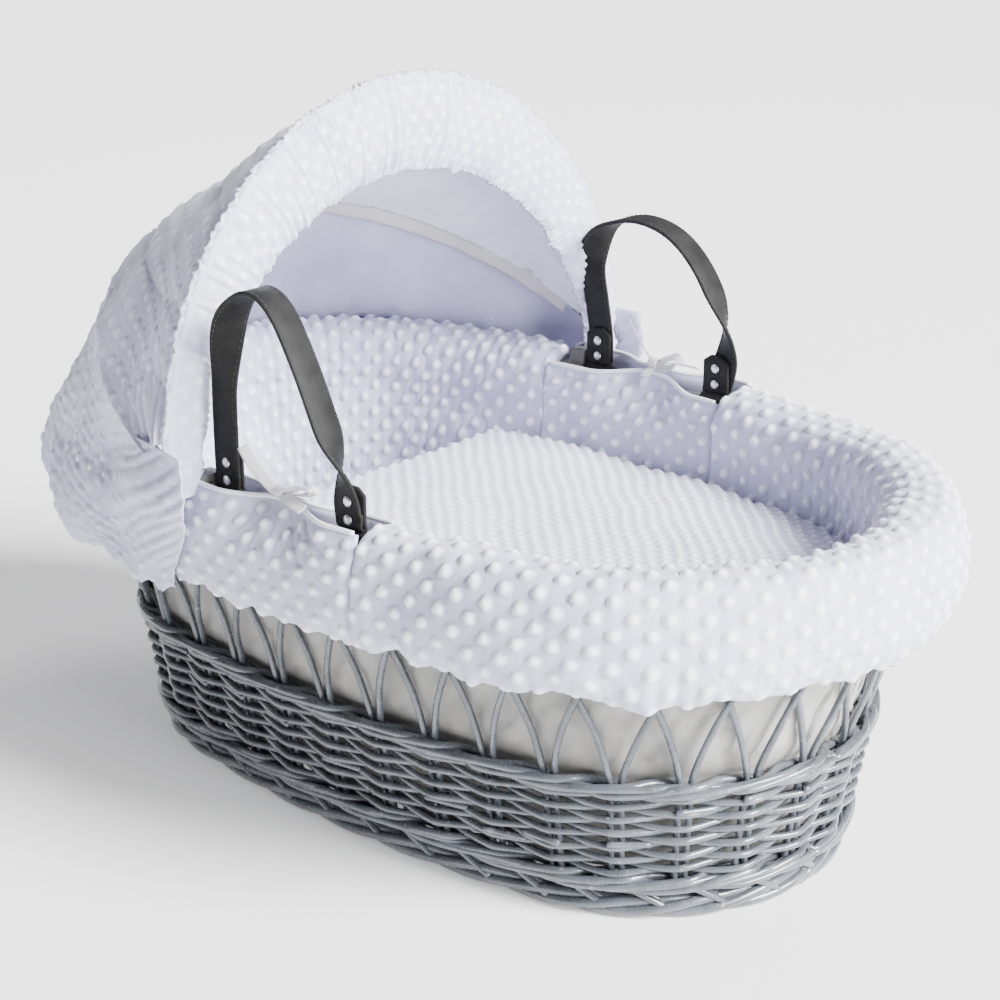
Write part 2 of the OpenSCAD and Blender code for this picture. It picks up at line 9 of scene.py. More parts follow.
import bpy
import numpy as np
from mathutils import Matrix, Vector


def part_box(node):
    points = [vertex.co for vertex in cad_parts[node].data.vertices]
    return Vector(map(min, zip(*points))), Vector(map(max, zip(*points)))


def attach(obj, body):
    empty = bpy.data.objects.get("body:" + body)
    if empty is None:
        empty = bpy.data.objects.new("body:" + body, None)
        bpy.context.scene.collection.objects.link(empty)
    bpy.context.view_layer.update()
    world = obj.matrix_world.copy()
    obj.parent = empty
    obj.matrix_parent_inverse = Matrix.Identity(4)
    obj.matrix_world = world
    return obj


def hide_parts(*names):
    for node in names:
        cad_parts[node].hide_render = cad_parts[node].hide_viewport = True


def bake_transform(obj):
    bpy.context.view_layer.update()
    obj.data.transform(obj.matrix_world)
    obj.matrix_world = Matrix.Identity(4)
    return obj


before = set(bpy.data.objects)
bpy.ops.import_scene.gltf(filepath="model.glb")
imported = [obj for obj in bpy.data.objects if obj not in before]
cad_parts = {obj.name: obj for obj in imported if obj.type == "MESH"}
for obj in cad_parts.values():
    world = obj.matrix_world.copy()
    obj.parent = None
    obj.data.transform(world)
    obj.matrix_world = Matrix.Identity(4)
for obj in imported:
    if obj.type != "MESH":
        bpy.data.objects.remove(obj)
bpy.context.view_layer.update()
MM = 0.001


def node_box(name):
    """Lowest and highest corner of a CAD node, in millimetres."""
    low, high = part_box(name)
    return np.array(low) / MM, np.array(high) / MM


# ---- The oval, as the CAD draws it ----
SHIFT = float(sum(corner[0] for corner in node_box("foot_border")) / 2)
END_X, END_R, SIDE_R, SIDE_DROP = 165.0, 160.0, 1075.0, 900.0
SIDE_ANGLE = atan(11 / 60)
REF_OUT = 19.0
END_RUN = (END_R + REF_OUT) * (pi / 2 - SIDE_ANGLE)
SIDE_RUN = (SIDE_R + REF_OUT) * SIDE_ANGLE
QUARTER = END_RUN + SIDE_RUN
WHOLE = 4 * QUARTER
PAIRS = 34
STEP = WHOLE / PAIRS
PAIR_GAP = 8.6
BAND_TOP, RIM_Z, RIM_OUT = 118.0, float(sum(c[2] for c in node_box("rim_border")) / 2), 45.0
LEAN = tan(radians(9.8))
WALL_FOOT = -9.8
ARCH_SLOPE = (RIM_OUT - WALL_FOOT - BAND_TOP * LEAN) / (RIM_Z - BAND_TOP)
# ---- Hood ----
PIVOT = np.array([SHIFT - 86.0, 0.0, 300.0])
FRONT_LEAN, REAR_LEAN = radians(2), radians(60)
FRONT_R, REAR_R = 258.0, 252.0
# strength of the painted highlight on the hood's dots
HOOD_DOT_HIGHLIGHT = 0.35
# ---- Padding ----
SLOT_FORE, SLOT_AFT = radians(4.3), radians(5.15)
SEAM = radians(0.1)
HEM_Z, HEM_DEPTH = 206.5, 40.0
DOT_PITCH, PADDED_OUT = 24.5, 58.0


def unit(v):
    return v / np.maximum(np.linalg.norm(v, axis=-1, keepdims=True), 1e-9)


def wall(z):
    """Offset of the wall's middle at a height."""
    z = np.asarray(z, float)
    low = WALL_FOOT + z * LEAN
    high = WALL_FOOT + BAND_TOP * LEAN + (z - BAND_TOP) * ARCH_SLOPE
    return np.where(z < BAND_TOP, low, high)


def turn_of(t):
    """Signs, the turn of the normal in its quarter, and whether the run t is on a rounded end."""
    t = np.mod(t, WHOLE)
    quarter = np.minimum((t // QUARTER).astype(int), 3)
    run = np.where(quarter % 2 == 0, t - quarter * QUARTER, (quarter + 1) * QUARTER - t)
    on_end = run < END_RUN
    turn = np.where(on_end, run / (END_R + REF_OUT), pi / 2 - (QUARTER - run) / (SIDE_R + REF_OUT))
    sign_x = np.where((quarter == 0) | (quarter == 3), 1.0, -1.0)
    sign_y = np.where(quarter < 2, 1.0, -1.0)
    return sign_x, sign_y, turn, on_end


def place(t, out, z):
    """Points of the record's frame for runs, offsets and heights that broadcast together."""
    t, out, z = np.broadcast_arrays(np.asarray(t, float), np.asarray(out, float), np.asarray(z, float))
    sign_x, sign_y, turn, on_end = turn_of(t)
    radius = np.where(on_end, END_R, SIDE_R) + out
    x = sign_x * (np.where(on_end, END_X, 0) + radius * np.cos(turn))
    y = sign_y * (radius * np.sin(turn) - np.where(on_end, 0, SIDE_DROP))
    return points(x + SHIFT, y, z)


def outward(t):
    """Level direction out of the wall at a run."""
    sign_x, sign_y, turn, _ = turn_of(np.asarray(t, float))
    return points(sign_x * np.cos(turn), sign_y * np.sin(turn), 0)


def offset_of(x, y):
    """Offset out from the foot oval of points on the ground plane."""
    x, y = np.abs(x - SHIFT), np.abs(y)
    on_end = (x - END_X) * 60 > y * 11
    return np.where(on_end, np.hypot(x - END_X, y) - END_R, np.hypot(x, y + SIDE_DROP) - SIDE_R)


def run_at(side, angle):
    """Run on a long side, by the angle from its middle towards the foot end. side is -1 near, 1 far."""
    return (QUARTER if side > 0 else 3 * QUARTER) - side * angle * (SIDE_R + REF_OUT)


def cloth_run(t, out):
    """Length of cloth along a run at an offset, from t = 0."""
    t = np.asarray(t, float)
    turns = np.floor(t / (2 * QUARTER) + 0.5)
    rest = t - turns * 2 * QUARTER
    end_part = np.clip(rest, -END_RUN, END_RUN)
    end_scale, side_scale = (END_R + out) / (END_R + REF_OUT), (SIDE_R + out) / (SIDE_R + REF_OUT)
    return (turns * 2 * (END_RUN * end_scale + SIDE_RUN * side_scale)
            + end_part * end_scale + (rest - end_part) * side_scale)


# ---- Noise, dimples and folds ----
def ripple(u, v, size, seed, heading=None, spread=pi, waves=10):
    """Smooth random height of about unit size, with wavelengths near size, across the headings given."""
    rng = np.random.default_rng(seed)
    total = 0
    for _ in range(waves):
        angle = (0 if heading is None else heading) + rng.uniform(-spread, spread)
        rate = 2 * pi / (size * rng.uniform(0.65, 1.5))
        total = total + np.sin(rate * (u * cos(angle) + v * sin(angle)) + rng.uniform(0, 6.28))
    return total * sqrt(2 / waves)


def creases(u, v, size, seed, heading=0.0, spread=0.5):
    """Folds with sharp valleys: 0 on a ridge, down to about -1 in a crease."""
    return np.abs(ripple(u, v, size, seed, heading, spread)) ** 0.6 - 1


def dimples(u, v, pitch, height, radius, seed=3):
    """Raised dots in staggered rows half a pitch apart."""
    half = pitch / 2
    u = u + 0.9 * ripple(u, v, 90, seed)
    v = v + 0.9 * ripple(u, v, 90, seed + 1)
    row = np.round(v / half)
    lag = np.mod(row, 2) * half
    column = np.round((u - lag) / pitch)
    far2 = (u - lag - column * pitch) ** 2 + (v - row * half) ** 2
    dome = np.clip(1 - far2 / radius ** 2, 0, 1)
    skirt = np.exp(-np.maximum(np.sqrt(far2) - radius, 0) ** 2 / (0.35 * radius) ** 2)
    return height * (dome ** 0.6 - 0.22 * skirt * (dome <= 0))


def ease(x, low, high):
    s = np.clip((x - low) / (high - low), 0, 1)
    return s * s * (3 - 2 * s)


def points(x, y, z):
    """Points from coordinates that broadcast together."""
    return np.stack(np.broadcast_arrays(np.asarray(x, float), y, z), -1)


def grid_of(u_from, u_to, nu, v_from, v_to, nv):
    """Two grids of evenly spaced values."""
    return np.meshgrid(np.linspace(u_from, u_to, nu), np.linspace(v_from, v_to, nv), indexing="ij")


def thinned(count, skip):
    """Every skip-th index of a row, and its last."""
    return np.unique(np.append(np.arange(0, count, skip), count - 1))


def spline(points, count=None, step=None, closed=False):
    """Even samples of a smooth curve through points."""
    p = np.asarray(points, float)
    n = len(p)
    pad = np.vstack([p[-1:], p, p[:2]]) if closed else np.vstack([2 * p[0] - p[1], p, 2 * p[-1] - p[-2]])
    spans = n if closed else n - 1
    s = np.linspace(0, 1, 40, endpoint=False)[:, None]
    parts = []
    for i in range(spans):
        a, b, c, d = pad[i:i + 4]
        parts.append(0.5 * (2 * b + (c - a) * s + (2 * a - 5 * b + 4 * c - d) * s ** 2
                            + (3 * b - a - 3 * c + d) * s ** 3))
    dense = np.vstack(parts + [p[:1] if closed else p[-1:]])
    run = np.concatenate([[0], np.cumsum(np.linalg.norm(np.diff(dense, axis=0), axis=1))])
    count = count or max(3, int(round(run[-1] / step)) + 1)
    at = np.linspace(0, run[-1], count, endpoint=not closed)
    return np.stack([np.interp(at, run, dense[:, k]) for k in range(p.shape[1])], -1), at


# ---- Meshes ----
def new_mesh(name, verts, quads, tris, material):
    """Object from a closed mesh's points in millimetres, turned so that its faces look outward."""
    verts = np.asarray(verts, float) * MM
    quads, tris = np.asarray(quads, int).reshape(-1, 4), np.asarray(tris, int).reshape(-1, 3)
    volume = 0
    for faces in (quads[:, :3], quads[:, [0, 2, 3]], tris):
        a, b, c = (verts[faces[:, k]] for k in range(3))
        volume += np.sum(a * np.cross(b, c))
    if volume < 0:
        quads, tris = quads[:, ::-1], tris[:, ::-1]
    mesh = bpy.data.meshes.new(name)
    mesh.vertices.add(len(verts))
    mesh.vertices.foreach_set("co", verts.ravel())
    mesh.loops.add(quads.size + tris.size)
    mesh.loops.foreach_set("vertex_index", np.concatenate([quads.ravel(), tris.ravel()]))
    sizes = np.concatenate([np.full(len(quads), 4), np.full(len(tris), 3)])
    mesh.polygons.add(len(sizes))
    mesh.polygons.foreach_set("loop_start", np.concatenate([[0], np.cumsum(sizes)[:-1]]))
    mesh.update(calc_edges=True)
    mesh.validate()
    mesh.shade_smooth()
    obj = bpy.data.objects.new(name, mesh)
    bpy.context.scene.collection.objects.link(obj)
    mesh.materials.append(material)
    return obj


def grid_quads(nu, nv, base=0, wrap=False):
    """Quads of a grid of nu by nv points, closed round u where wrap is set."""
    i, j = np.meshgrid(np.arange(nu if wrap else nu - 1), np.arange(nv - 1), indexing="ij")
    k = (i + 1) % nu
    return np.stack([i * nv + j, k * nv + j, k * nv + j + 1, i * nv + j + 1], -1).reshape(-1, 4) + base


def stitch(a, b):
    """Triangles of the strip between two lines of points, each given by index, that may differ in count."""
    tris, i, j = [], 0, 0
    while i < len(a) - 1 or j < len(b) - 1:
        if j == len(b) - 1 or (i < len(a) - 1 and (i + 1) / (len(a) - 1) <= (j + 1) / (len(b) - 1)):
            tris.append((a[i + 1], a[i], b[j]))
            i += 1
        else:
            tris.append((a[i], b[j], b[j + 1]))
            j += 1
    return tris


def grid_edges(nu, nv, base=0, wrap=False):
    """The sides of a grid, each in the sense that its quads run."""
    index = np.arange(nu * nv).reshape(nu, nv) + base
    if wrap:
        return [np.append(index[:, 0], index[0, 0]), np.append(index[:, -1], index[0, -1])[::-1]]
    return [index[:, 0], index[-1, :], index[::-1, -1], index[0, ::-1]]


def shell_parts(face, back, base=0, wrap=False):
    """Points, quads and triangles of a closed shell between a fine visible face and a coarser back."""
    nu, nv = face.shape[:2]
    mu, mv = back.shape[:2]
    rear = base + nu * nv
    tris = []
    for a, b in zip(grid_edges(nu, nv, base, wrap), grid_edges(mu, mv, rear, wrap)):
        tris += stitch(a, b)
    quads = [grid_quads(nu, nv, base, wrap), grid_quads(mu, mv, rear, wrap)[:, ::-1]]
    return np.vstack([face.reshape(-1, 3), back.reshape(-1, 3)]), np.vstack(quads), tris


def shell(name, face, back, material, wrap=False):
    return new_mesh(name, *shell_parts(face, back, 0, wrap), material)


def normals(grid, wrap=False):
    """Unit normals of a grid of points, along v cross u."""
    du = np.roll(grid, -1, 0) - np.roll(grid, 1, 0) if wrap else np.gradient(grid, axis=0)
    return unit(np.cross(np.gradient(grid, axis=1), du))


def cloth_shell(name, grid, thickness, material, wrap=False, coarse=3):
    """Closed sheet: the grid is its face, and the back lies a thickness behind it."""
    behind = grid - normals(grid, wrap) * thickness
    rows = np.arange(0, grid.shape[0], coarse) if wrap else thinned(grid.shape[0], coarse)
    return shell(name, grid, behind[np.ix_(rows, thinned(grid.shape[1], coarse))], material, wrap)


def mark_dot_highlight(obj, dots, strength=1.0):
    """Stores how far each point of the face grid stands up on the dots, for the plush's painted highlight:
    the higher a point stands, the lighter its colour.
    """
    values = np.zeros(len(obj.data.vertices), np.float32)
    values[:dots.size] = strength * np.clip(dots / dots.max(), 0, 1).ravel()
    obj.data.attributes.new("dot_highlight", "FLOAT", "POINT").data.foreach_set("value", values)


class Rods:
    """Collects round rods into one mesh."""

    def __init__(self, sides=8):
        self.sides, self.verts, self.quads, self.tris, self.count = sides, [], [], [], 0

    def add(self, line, radius, toward=(0, 0, 1), closed=False):
        """A rod along a line of points. toward is a direction that no stretch runs along."""
        line = np.asarray(line, float)
        n = len(line)
        along = unit(np.roll(line, -1, 0) - np.roll(line, 1, 0) if closed else np.gradient(line, axis=0))
        side = unit(np.cross(along, np.broadcast_to(toward, line.shape)))
        up = np.cross(side, along)
        turn = np.linspace(0, 2 * pi, self.sides, endpoint=False)
        radius = np.broadcast_to(np.asarray(radius, float), (n,))[:, None, None]
        ring = radius * (side[:, None] * np.cos(turn)[:, None] + up[:, None] * np.sin(turn)[:, None])
        self.verts.append((line[:, None] + ring).reshape(-1, 3))
        quads = grid_quads(n, self.sides, self.count, closed)
        seam = np.arange(n if closed else n - 1)
        after = (seam + 1) % n
        s = self.sides
        close = np.stack([seam * s + s - 1, after * s + s - 1, after * s, seam * s], -1) + self.count
        self.quads += [quads, close]
        if not closed:
            k = np.arange(s)
            for row, sense in ((0, 1), (n - 1, -1)):
                tip = line[row] - sense * along[row] * radius[row, 0, 0] * 0.35
                self.verts.append(tip[None])
                first, hub = self.count + row * s, self.count + n * s + (row > 0)
                cap = np.stack([first + k, first + (k + 1) % s, np.full(s, hub)], -1)
                self.tris.append(cap[:, ::sense])
        self.count += n * s + (0 if closed else 2)

    def build(self, name, material):
        tris = np.vstack(self.tris) if self.tris else []
        return new_mesh(name, np.vstack(self.verts), np.vstack(self.quads), tris, material)


# ---- Materials ----
class Look:
    """Principled material, with helpers that add procedural nodes to it."""

    def __init__(self, name, base, roughness, **inputs):
        self.made = bpy.data.materials.new(name)
        self.made.use_nodes = True
        self.tree = self.made.node_tree
        self.shader = self.tree.nodes["Principled BSDF"]
        self.shader.inputs["Base Color"].default_value = (*base, 1)
        self.shader.inputs["Roughness"].default_value = roughness
        for key, value in inputs.items():
            self.shader.inputs[key.replace("_", " ")].default_value = value
        self.where = self.node("ShaderNodeTexCoord").outputs["Object"]

    def node(self, kind, sources=None, **settings):
        made = self.tree.nodes.new(kind)
        for key, value in settings.items():
            if hasattr(made, key):
                setattr(made, key, value)
            else:
                made.inputs[key.replace("_", " ")].default_value = value
        for key, source in (sources or {}).items():
            self.tree.links.new(source, made.inputs[key])
        return made

    def drive(self, socket, source):
        self.tree.links.new(source, self.shader.inputs[socket])

    def noise(self, scale, detail, distortion=0.0):
        return self.node("ShaderNodeTexNoise", {"Vector": self.where}, Scale=scale, Detail=detail,
                         Distortion=distortion).outputs["Fac"]

    def tone(self, factor, low, high, start=0.35, end=0.65):
        """Colour between two, as a factor goes from start to end."""
        ramp = self.node("ShaderNodeValToRGB", {"Fac": factor})
        for element, colour, position in zip(ramp.color_ramp.elements, (low, high), (start, end)):
            element.color = (*colour, 1)
            element.position = position
        return ramp.outputs["Color"]

    def cover(self, factor, under, colour):
        """Base colour: one colour over another tone, by a factor."""
        mix = self.node("ShaderNodeMix", {"Factor": factor, "A": under}, data_type="RGBA")
        mix.inputs["B"].default_value = (*colour, 1)
        self.drive("Base Color", mix.outputs["Result"])

    def gloss(self, factor, low, high):
        spread = self.node("ShaderNodeMapRange", {"Value": factor}, To_Min=low, To_Max=high)
        self.drive("Roughness", spread.outputs["Result"])

    def bump(self, *layers):
        """Bumps one over another: height, distance in metres and strength. Returns the material."""
        below = {}
        for height, distance, strength in layers:
            bump = self.node("ShaderNodeBump", {"Height": height, **below}, Distance=distance,
                             Strength=strength)
            below = {"Normal": bump.outputs["Normal"]}
        self.drive("Normal", below["Normal"])
        return self.made


def painted_willow(name, low, high, roughness):
    look = Look(name, high, roughness, Coat_Weight=0.6, Coat_Roughness=0.18)
    fine, knots = look.noise(620.0, 3.0), look.noise(150.0, 2.0)
    worn = look.tone(knots, (0, 0, 0), (1, 1, 1), 0.66, 0.74)
    look.cover(worn, look.tone(look.noise(38.0, 5.0), low, high), [0.72 * c + 0.1 for c in high])
    look.gloss(fine, roughness - 0.08, roughness + 0.12)
    return look.bump((fine, 0.0004, 0.35), (knots, 0.0012, 0.4))


def plush(name, low, high, dot_highlight_colour):
    """Short-pile plush: fine fibres, sheen and a faint cool tint, with raised dots painted lighter than the
    ground between them: painted highlight on the dots and painted shade between them.
    """
    look = Look(name, high, 0.92, Sheen_Weight=0.35, Sheen_Roughness=0.45, Subsurface_Weight=0.12,
                Subsurface_Radius=(0.004, 0.004, 0.005))
    # painted highlight: the raised dots take the light colour, more the higher they stand
    dot_highlight = look.node("ShaderNodeAttribute", attribute_name="dot_highlight").outputs["Fac"]
    look.cover(dot_highlight, look.tone(look.noise(26.0, 6.0), low, high, 0.3, 0.6), dot_highlight_colour)
    return look.bump((look.noise(1500.0, 2.0), 0.0005, 0.5), (look.noise(170.0, 4.0, 1.2), 0.0012, 0.3))


def woven(name, low, high, thread=900.0, twill=0.0, sheen=0.15):
    """Plain or twill cotton: two crossed sets of threads."""
    look = Look(name, high, 0.88, Sheen_Weight=sheen)
    look.drive("Base Color", look.tone(look.noise(18.0, 6.0), low, high))
    layers = []
    for turned in ((0.0, 0.0, 0.3 + twill), (0.5, 0.4, -0.6 + twill)):
        mapping = look.node("ShaderNodeMapping", {"Vector": look.where}, Rotation=turned)
        wave = look.node("ShaderNodeTexWave", {"Vector": mapping.outputs["Vector"]}, Scale=thread,
                         Distortion=1.5, Detail=1.0)
        layers.append((wave.outputs["Fac"], 0.00025, 0.35))
    return look.bump(*layers, (look.noise(420.0, 3.0), 0.0005, 0.25))


def leather(name, low, high):
    look = Look(name, high, 0.55, Specular_IOR_Level=0.1)
    grain = look.node("ShaderNodeTexVoronoi", {"Vector": look.where}, Scale=1100.0).outputs["Distance"]
    scuffs = look.noise(240.0, 5.0, 2.0)
    look.drive("Base Color", look.tone(look.noise(60.0, 5.0), low, high))
    look.gloss(scuffs, 0.42, 0.62)
    return look.bump((grain, 0.0004, 0.3), (scuffs, 0.0006, 0.2))


def metal(name, base, roughness):
    look = Look(name, base, roughness, Metallic=1.0)
    scratches = look.noise(900.0, 4.0)
    look.gloss(scratches, roughness - 0.08, roughness + 0.1)
    return look.bump((scratches, 0.0001, 0.25))


def moulded(name, low, high, roughness, scale):
    look = Look(name, high, roughness)
    grain = look.noise(scale, 4.0)
    look.drive("Base Color", look.tone(grain, low, high, 0.4, 0.6))
    return look.bump((grain, 0.0004, 0.4))


PAINT = painted_willow("wicker_paint", (0.056, 0.064, 0.076), (0.108, 0.121, 0.139), 0.24)
HIDDEN = painted_willow("hidden_willow", (0.068, 0.077, 0.090), (0.110, 0.122, 0.139), 0.42)
# near-white dots over a darker lavender ground: painted highlight on the dots and painted shade between them
PLUSH = plush("white_dimple_cloth", (0.49, 0.485, 0.645), (0.57, 0.565, 0.72), (0.87, 0.87, 0.95))
COTTON = woven("white_cotton", (0.80, 0.80, 0.87), (0.87, 0.87, 0.93))
# the liner's cotton is painted a darker grey than its cream: painted shade for the liner lying inside the
# basket
SHADED_CREAM = woven("cream_cotton", (0.26, 0.255, 0.245), (0.37, 0.36, 0.345), thread=420.0, twill=0.5)
TAPE = woven("casing_tape", (0.60, 0.57, 0.56), (0.68, 0.65, 0.64), thread=700.0)
FOAM = moulded("foam", (0.72, 0.66, 0.48), (0.80, 0.74, 0.56), 0.95, 700.0)
RIBBON = woven("ribbon", (0.82, 0.81, 0.86), (0.88, 0.87, 0.90), thread=1400.0, sheen=0.5)
STRAP = leather("faux_leather", (0.012, 0.0118, 0.012), (0.019, 0.0185, 0.0185))
STITCH = woven("strap_thread", (0.010, 0.010, 0.010), (0.016, 0.016, 0.016), thread=1600.0)
NICKEL = metal("nickel", (0.66, 0.64, 0.63), 0.3)
WIRE = moulded("hoop_wire", (0.045, 0.05, 0.055), (0.06, 0.065, 0.07), 0.45, 900.0)
PLASTIC = moulded("clip_plastic", (0.10, 0.096, 0.092), (0.13, 0.125, 0.12), 0.5, 900.0)


def finish_piece(obj, body, slot, *nodes):
    """Rides on a body and stands for CAD nodes, which it hides. slot is not used."""
    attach(obj, body)
    if nodes:
        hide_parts(*nodes)


# ---- Wicker ----
RUN = np.linspace(0, WHOLE, 544, endpoint=False)


def uneven(seed, size=0.5, length=120):
    """Small wander along a closed run."""
    rng = np.random.default_rng(seed)
    total = 0
    for k in range(1, 7):
        turns = 2 * pi * (k + int(WHOLE / length)) * RUN / WHOLE
        total = total + rng.normal() * np.sin(turns + rng.uniform(0, 6.28))
    return size * total / 2


def zigzag(phase):
    """Wave between -1 and 1 with nearly straight flanks and rounded tips."""
    return np.arcsin(0.96 * np.cos(phase)) / asin(0.96)


def weave_rows():
    rods = Rods()
    rows, low, high = 12, 40.5, 105.4
    for k in range(rows):
        phase = pi * (RUN / STEP - 0.5 + k)
        z = low + k * (high - low) / (rows - 1) + uneven(10 + k, 0.55) + 0.5 * np.sin(phase)
        out = wall(z) + 6.3 * zigzag(phase) + uneven(40 + k, 0.25)
        radius = 2.75 + 0.22 * uneven(70 + k, 1.0, 260)
        rods.add(place(RUN, out, z), radius, closed=True)
    rng = np.random.default_rng(8)
    for pair in rng.permutation(PAIRS)[:26]:
        # a rod's cut end rests outside a stake pair, just above a row
        height = low + (high - low) * (int(rng.integers(0, rows - 1)) + 0.5) / (rows - 1)
        s = np.linspace(0, 1, 8)
        way = rng.choice((-1.0, 1.0))
        t = (pair + 0.5) * STEP + way * (5 + rng.uniform(0, 4) - 34 * (1 - s))
        rods.add(place(t, wall(height) + 1 + 6.5 * s, height - 1.5 + 1.5 * s), 2.5)
    finish_piece(rods.build("side_weave_rods", PAINT), "basket", "wicker_paint", "side_weave")


def wale(rods, z_mid, out_mid, reach, climb, radius, strands=3, period=3, seed=0):
    """Strands that each pass outside two stake pairs and behind one."""
    for j in range(strands):
        phase = 2 * pi * (RUN / STEP / period + j / strands)
        across = np.tanh(2.6 * (np.cos(phase) + 0.25))
        z = z_mid + climb * np.sin(phase) + uneven(100 + seed + j, 0.35)
        out = out_mid + (z - z_mid) * LEAN + reach * across
        rods.add(place(RUN, out, z), radius + 0.2 * uneven(130 + seed + j, 1.0, 260), closed=True)


def wales():
    foot = Rods()
    wale(foot, 31.5, float(wall(31.5)), 6.6, 3.9, 3.3, seed=1)
    wale(foot, 29.5, float(wall(29.5)) + 4.5, 3.4, 3.0, 2.9, strands=3, period=4, seed=5)
    finish_piece(foot.build("foot_wale_rods", PAINT), "basket", "wicker_paint", "foot_wale")
    top = Rods()
    wale(top, 113.0, float(wall(113.0)), 6.9, 3.6, 3.4, seed=9)
    wale(top, 113.6, float(wall(113.6)) + 5.0, 3.2, 3.2, 2.8, strands=2, period=4, seed=14)
    finish_piece(top.build("top_wale_rods", PAINT), "basket", "wicker_paint", "top_wale")


def foot_border():
    """Plaited border: long strands wound round each other, fed by a slanting rod from each stake pair."""
    rods = Rods()
    for j in range(4):
        phase = 2 * pi * (RUN / STEP / 5 + j / 4)
        z = 9.7 + 4.6 * np.sin(phase) + 0.7 * np.sin(2 * phase)
        out = -9.0 + 4.6 * np.cos(phase)
        rods.add(place(RUN, out, z), 4.1 + 0.15 * uneven(160 + j, 1.0, 260), closed=True)
    s = np.linspace(0, 1, 14)
    for k in range(PAIRS):
        start = (k + 0.5) * STEP
        for lane in (0, 1):
            t = start + lane * 7 - 3 + 46 * s
            z = 31 - 22 * s ** 1.25 - lane * 1.5
            out = wall(z) * (1 - s) + (-4.5 - 5 * lane) * s + 1.5 * np.sin(pi * s)
            rods.add(place(t, out, z), 2.9 - 0.3 * lane, outward(t))
    finish_piece(rods.build("foot_border_plait", PAINT), "basket", "wicker_paint", "foot_border")


def stakes_and_arches():
    """Each rod climbs inside the weave as a stake, then leans over as one arm of an arch."""
    rods = Rods()
    low, high = BAND_TOP + 0.6, RIM_Z - 10.0
    straight = np.linspace(22, BAND_TOP - 2, 8)
    climb = np.linspace(low, high, 26)
    above = climb - low
    # upright at the wale, crossing the next pair's rod at the padding's hem, then nearly straight to the rim
    drift = 0.17 * np.minimum(above, 80) + np.minimum(above, 80) ** 2 / 440 + 0.1 * np.maximum(above - 80, 0)
    rng = np.random.default_rng(5)
    for k in range(PAIRS):
        for lean in (1, -1):
            start = (k + 0.5) * STEP + lean * PAIR_GAP / 2
            wobble = rng.normal(0, 1.3) * np.sin(pi * above / above[-1])
            t = np.concatenate([np.full(8, start), start + lean * (drift + wobble)])
            z = np.concatenate([straight, climb])
            layer = np.concatenate([np.zeros(8), ease(climb, low, low + 40) * lean * 2.9])
            rods.add(place(t, wall(z) + layer, z), 2.65 + rng.normal(0, 0.08), outward(t))
    obj = rods.build("stakes_and_arches", PAINT)
    finish_piece(obj, "basket", "wicker_paint", "stakes", "arch_rods")


def rim_border():
    rods = Rods()
    for j in range(4):
        phase = 2 * pi * (RUN / STEP / 4 + j / 4)
        rods.add(place(RUN, RIM_OUT + 6.6 * np.cos(phase), RIM_Z + 6.6 * np.sin(phase)), 4.7, closed=True)
    finish_piece(rods.build("rim_border_rope", PAINT), "basket", "wicker_paint", "rim_border")


def base_weave():
    """Rings that pass over and under the cross sticks, which stand 50 mm apart."""
    rods = Rods(6)
    for k in range(16):
        flat = place(RUN, -19 - 8 * k, 0)
        wave = np.cos(pi * (flat[:, 0] - SHIFT) / 50 + pi * k)
        flat[:, 2] = 28 + 4.6 * wave
        rods.add(flat, 2.0, closed=True)
    finish_piece(rods.build("base_weave_rods", HIDDEN), "basket", "hidden_willow", "base_weave")


# ---- Lining and bedding ----
def liner():
    profile, v = spline([(-60, 36.9), (-20, 37.0), (-16.6, 39.5), (-3.4, 109), (-2.2, 117), (1.9, 125),
                         (14, 175), (26, 225), (28.6, 247)], step=4)
    t = np.linspace(0, WHOLE, 460, endpoint=False)
    tt, vv = np.meshgrid(t, v, indexing="ij")
    folds = creases(tt, vv, 110, 21, 0.6, 0.5) + 1.8 * creases(tt, vv, 34, 23, -0.5, 0.5)
    folds = folds + 0.5 * ripple(tt, vv, 60, 22)
    free = ease(profile[:, 1], 117, 136) * (1 - 0.6 * ease(profile[:, 1], 215, 245))
    grid = place(tt, profile[:, 0], profile[:, 1])
    push = 3.2 * np.tanh(0.75 * (folds + 1.5)) * free
    grid = grid + outward(t)[:, None] * push[..., None]
    made = cloth_shell("liner_cloth", grid[::-1], 1.2, SHADED_CREAM, wrap=True, coarse=2)
    finish_piece(made, "basket", "cream_cotton", "liner")
    return made


def pillow(name, low, high, rounding, reach_out, head_x, material_used, detail, step, crown):
    """Flat padded body inside the oval: reach_out is its outline's offset, and head_x cuts its head end."""
    first = head_x if head_x is not None else SHIFT - END_X - END_R - reach_out
    last = SHIFT + END_X + END_R + reach_out
    share = np.linspace(0, 1, int((last - first) / step))
    if head_x is None:
        x = (first + last) / 2 - (last - first) / 2 * np.cos(pi * share)
    else:
        x = first + (last - first) * np.sin(share * pi / 2)
    probe = np.linspace(0, 260, 1301)
    half = np.array([np.interp(0, offset_of(np.full_like(probe, xi), probe) - reach_out, probe) for xi in x])
    half = np.maximum(half, 0.4)
    across = np.linspace(-1, 1, int(2 * half.max() / step))
    across = np.sin(across * pi / 2) * 0.35 + across * 0.65
    y = half[:, None] * across
    xx = np.broadcast_to(x[:, None], y.shape)
    inset = np.maximum(reach_out - offset_of(xx, y), 0)
    if head_x is not None:
        inset = np.minimum(inset, np.abs(xx - head_x))
    edge = np.sqrt(1 - (1 - np.clip(inset / rounding, 0, 1)) ** 2)
    middle = 1 - np.clip(1 - inset / 130, 0, 1) ** 2
    body = (high - low) / 2
    top = points(xx, y, low + body + (body - crown) * edge + crown * middle * edge)
    soft, dots = detail(xx, y)
    top = top - normals(top) * np.where(edge > 0.05, soft + dots, 0)[..., None]
    coarse = np.ix_(thinned(len(x), 3), thinned(y.shape[1], 3))
    under = points(xx, y, low + body - (body - 0.5) * edge)[coarse]
    made = shell(name, top, under, material_used)
    if dots.any():
        mark_dot_highlight(made, dots)
    return made


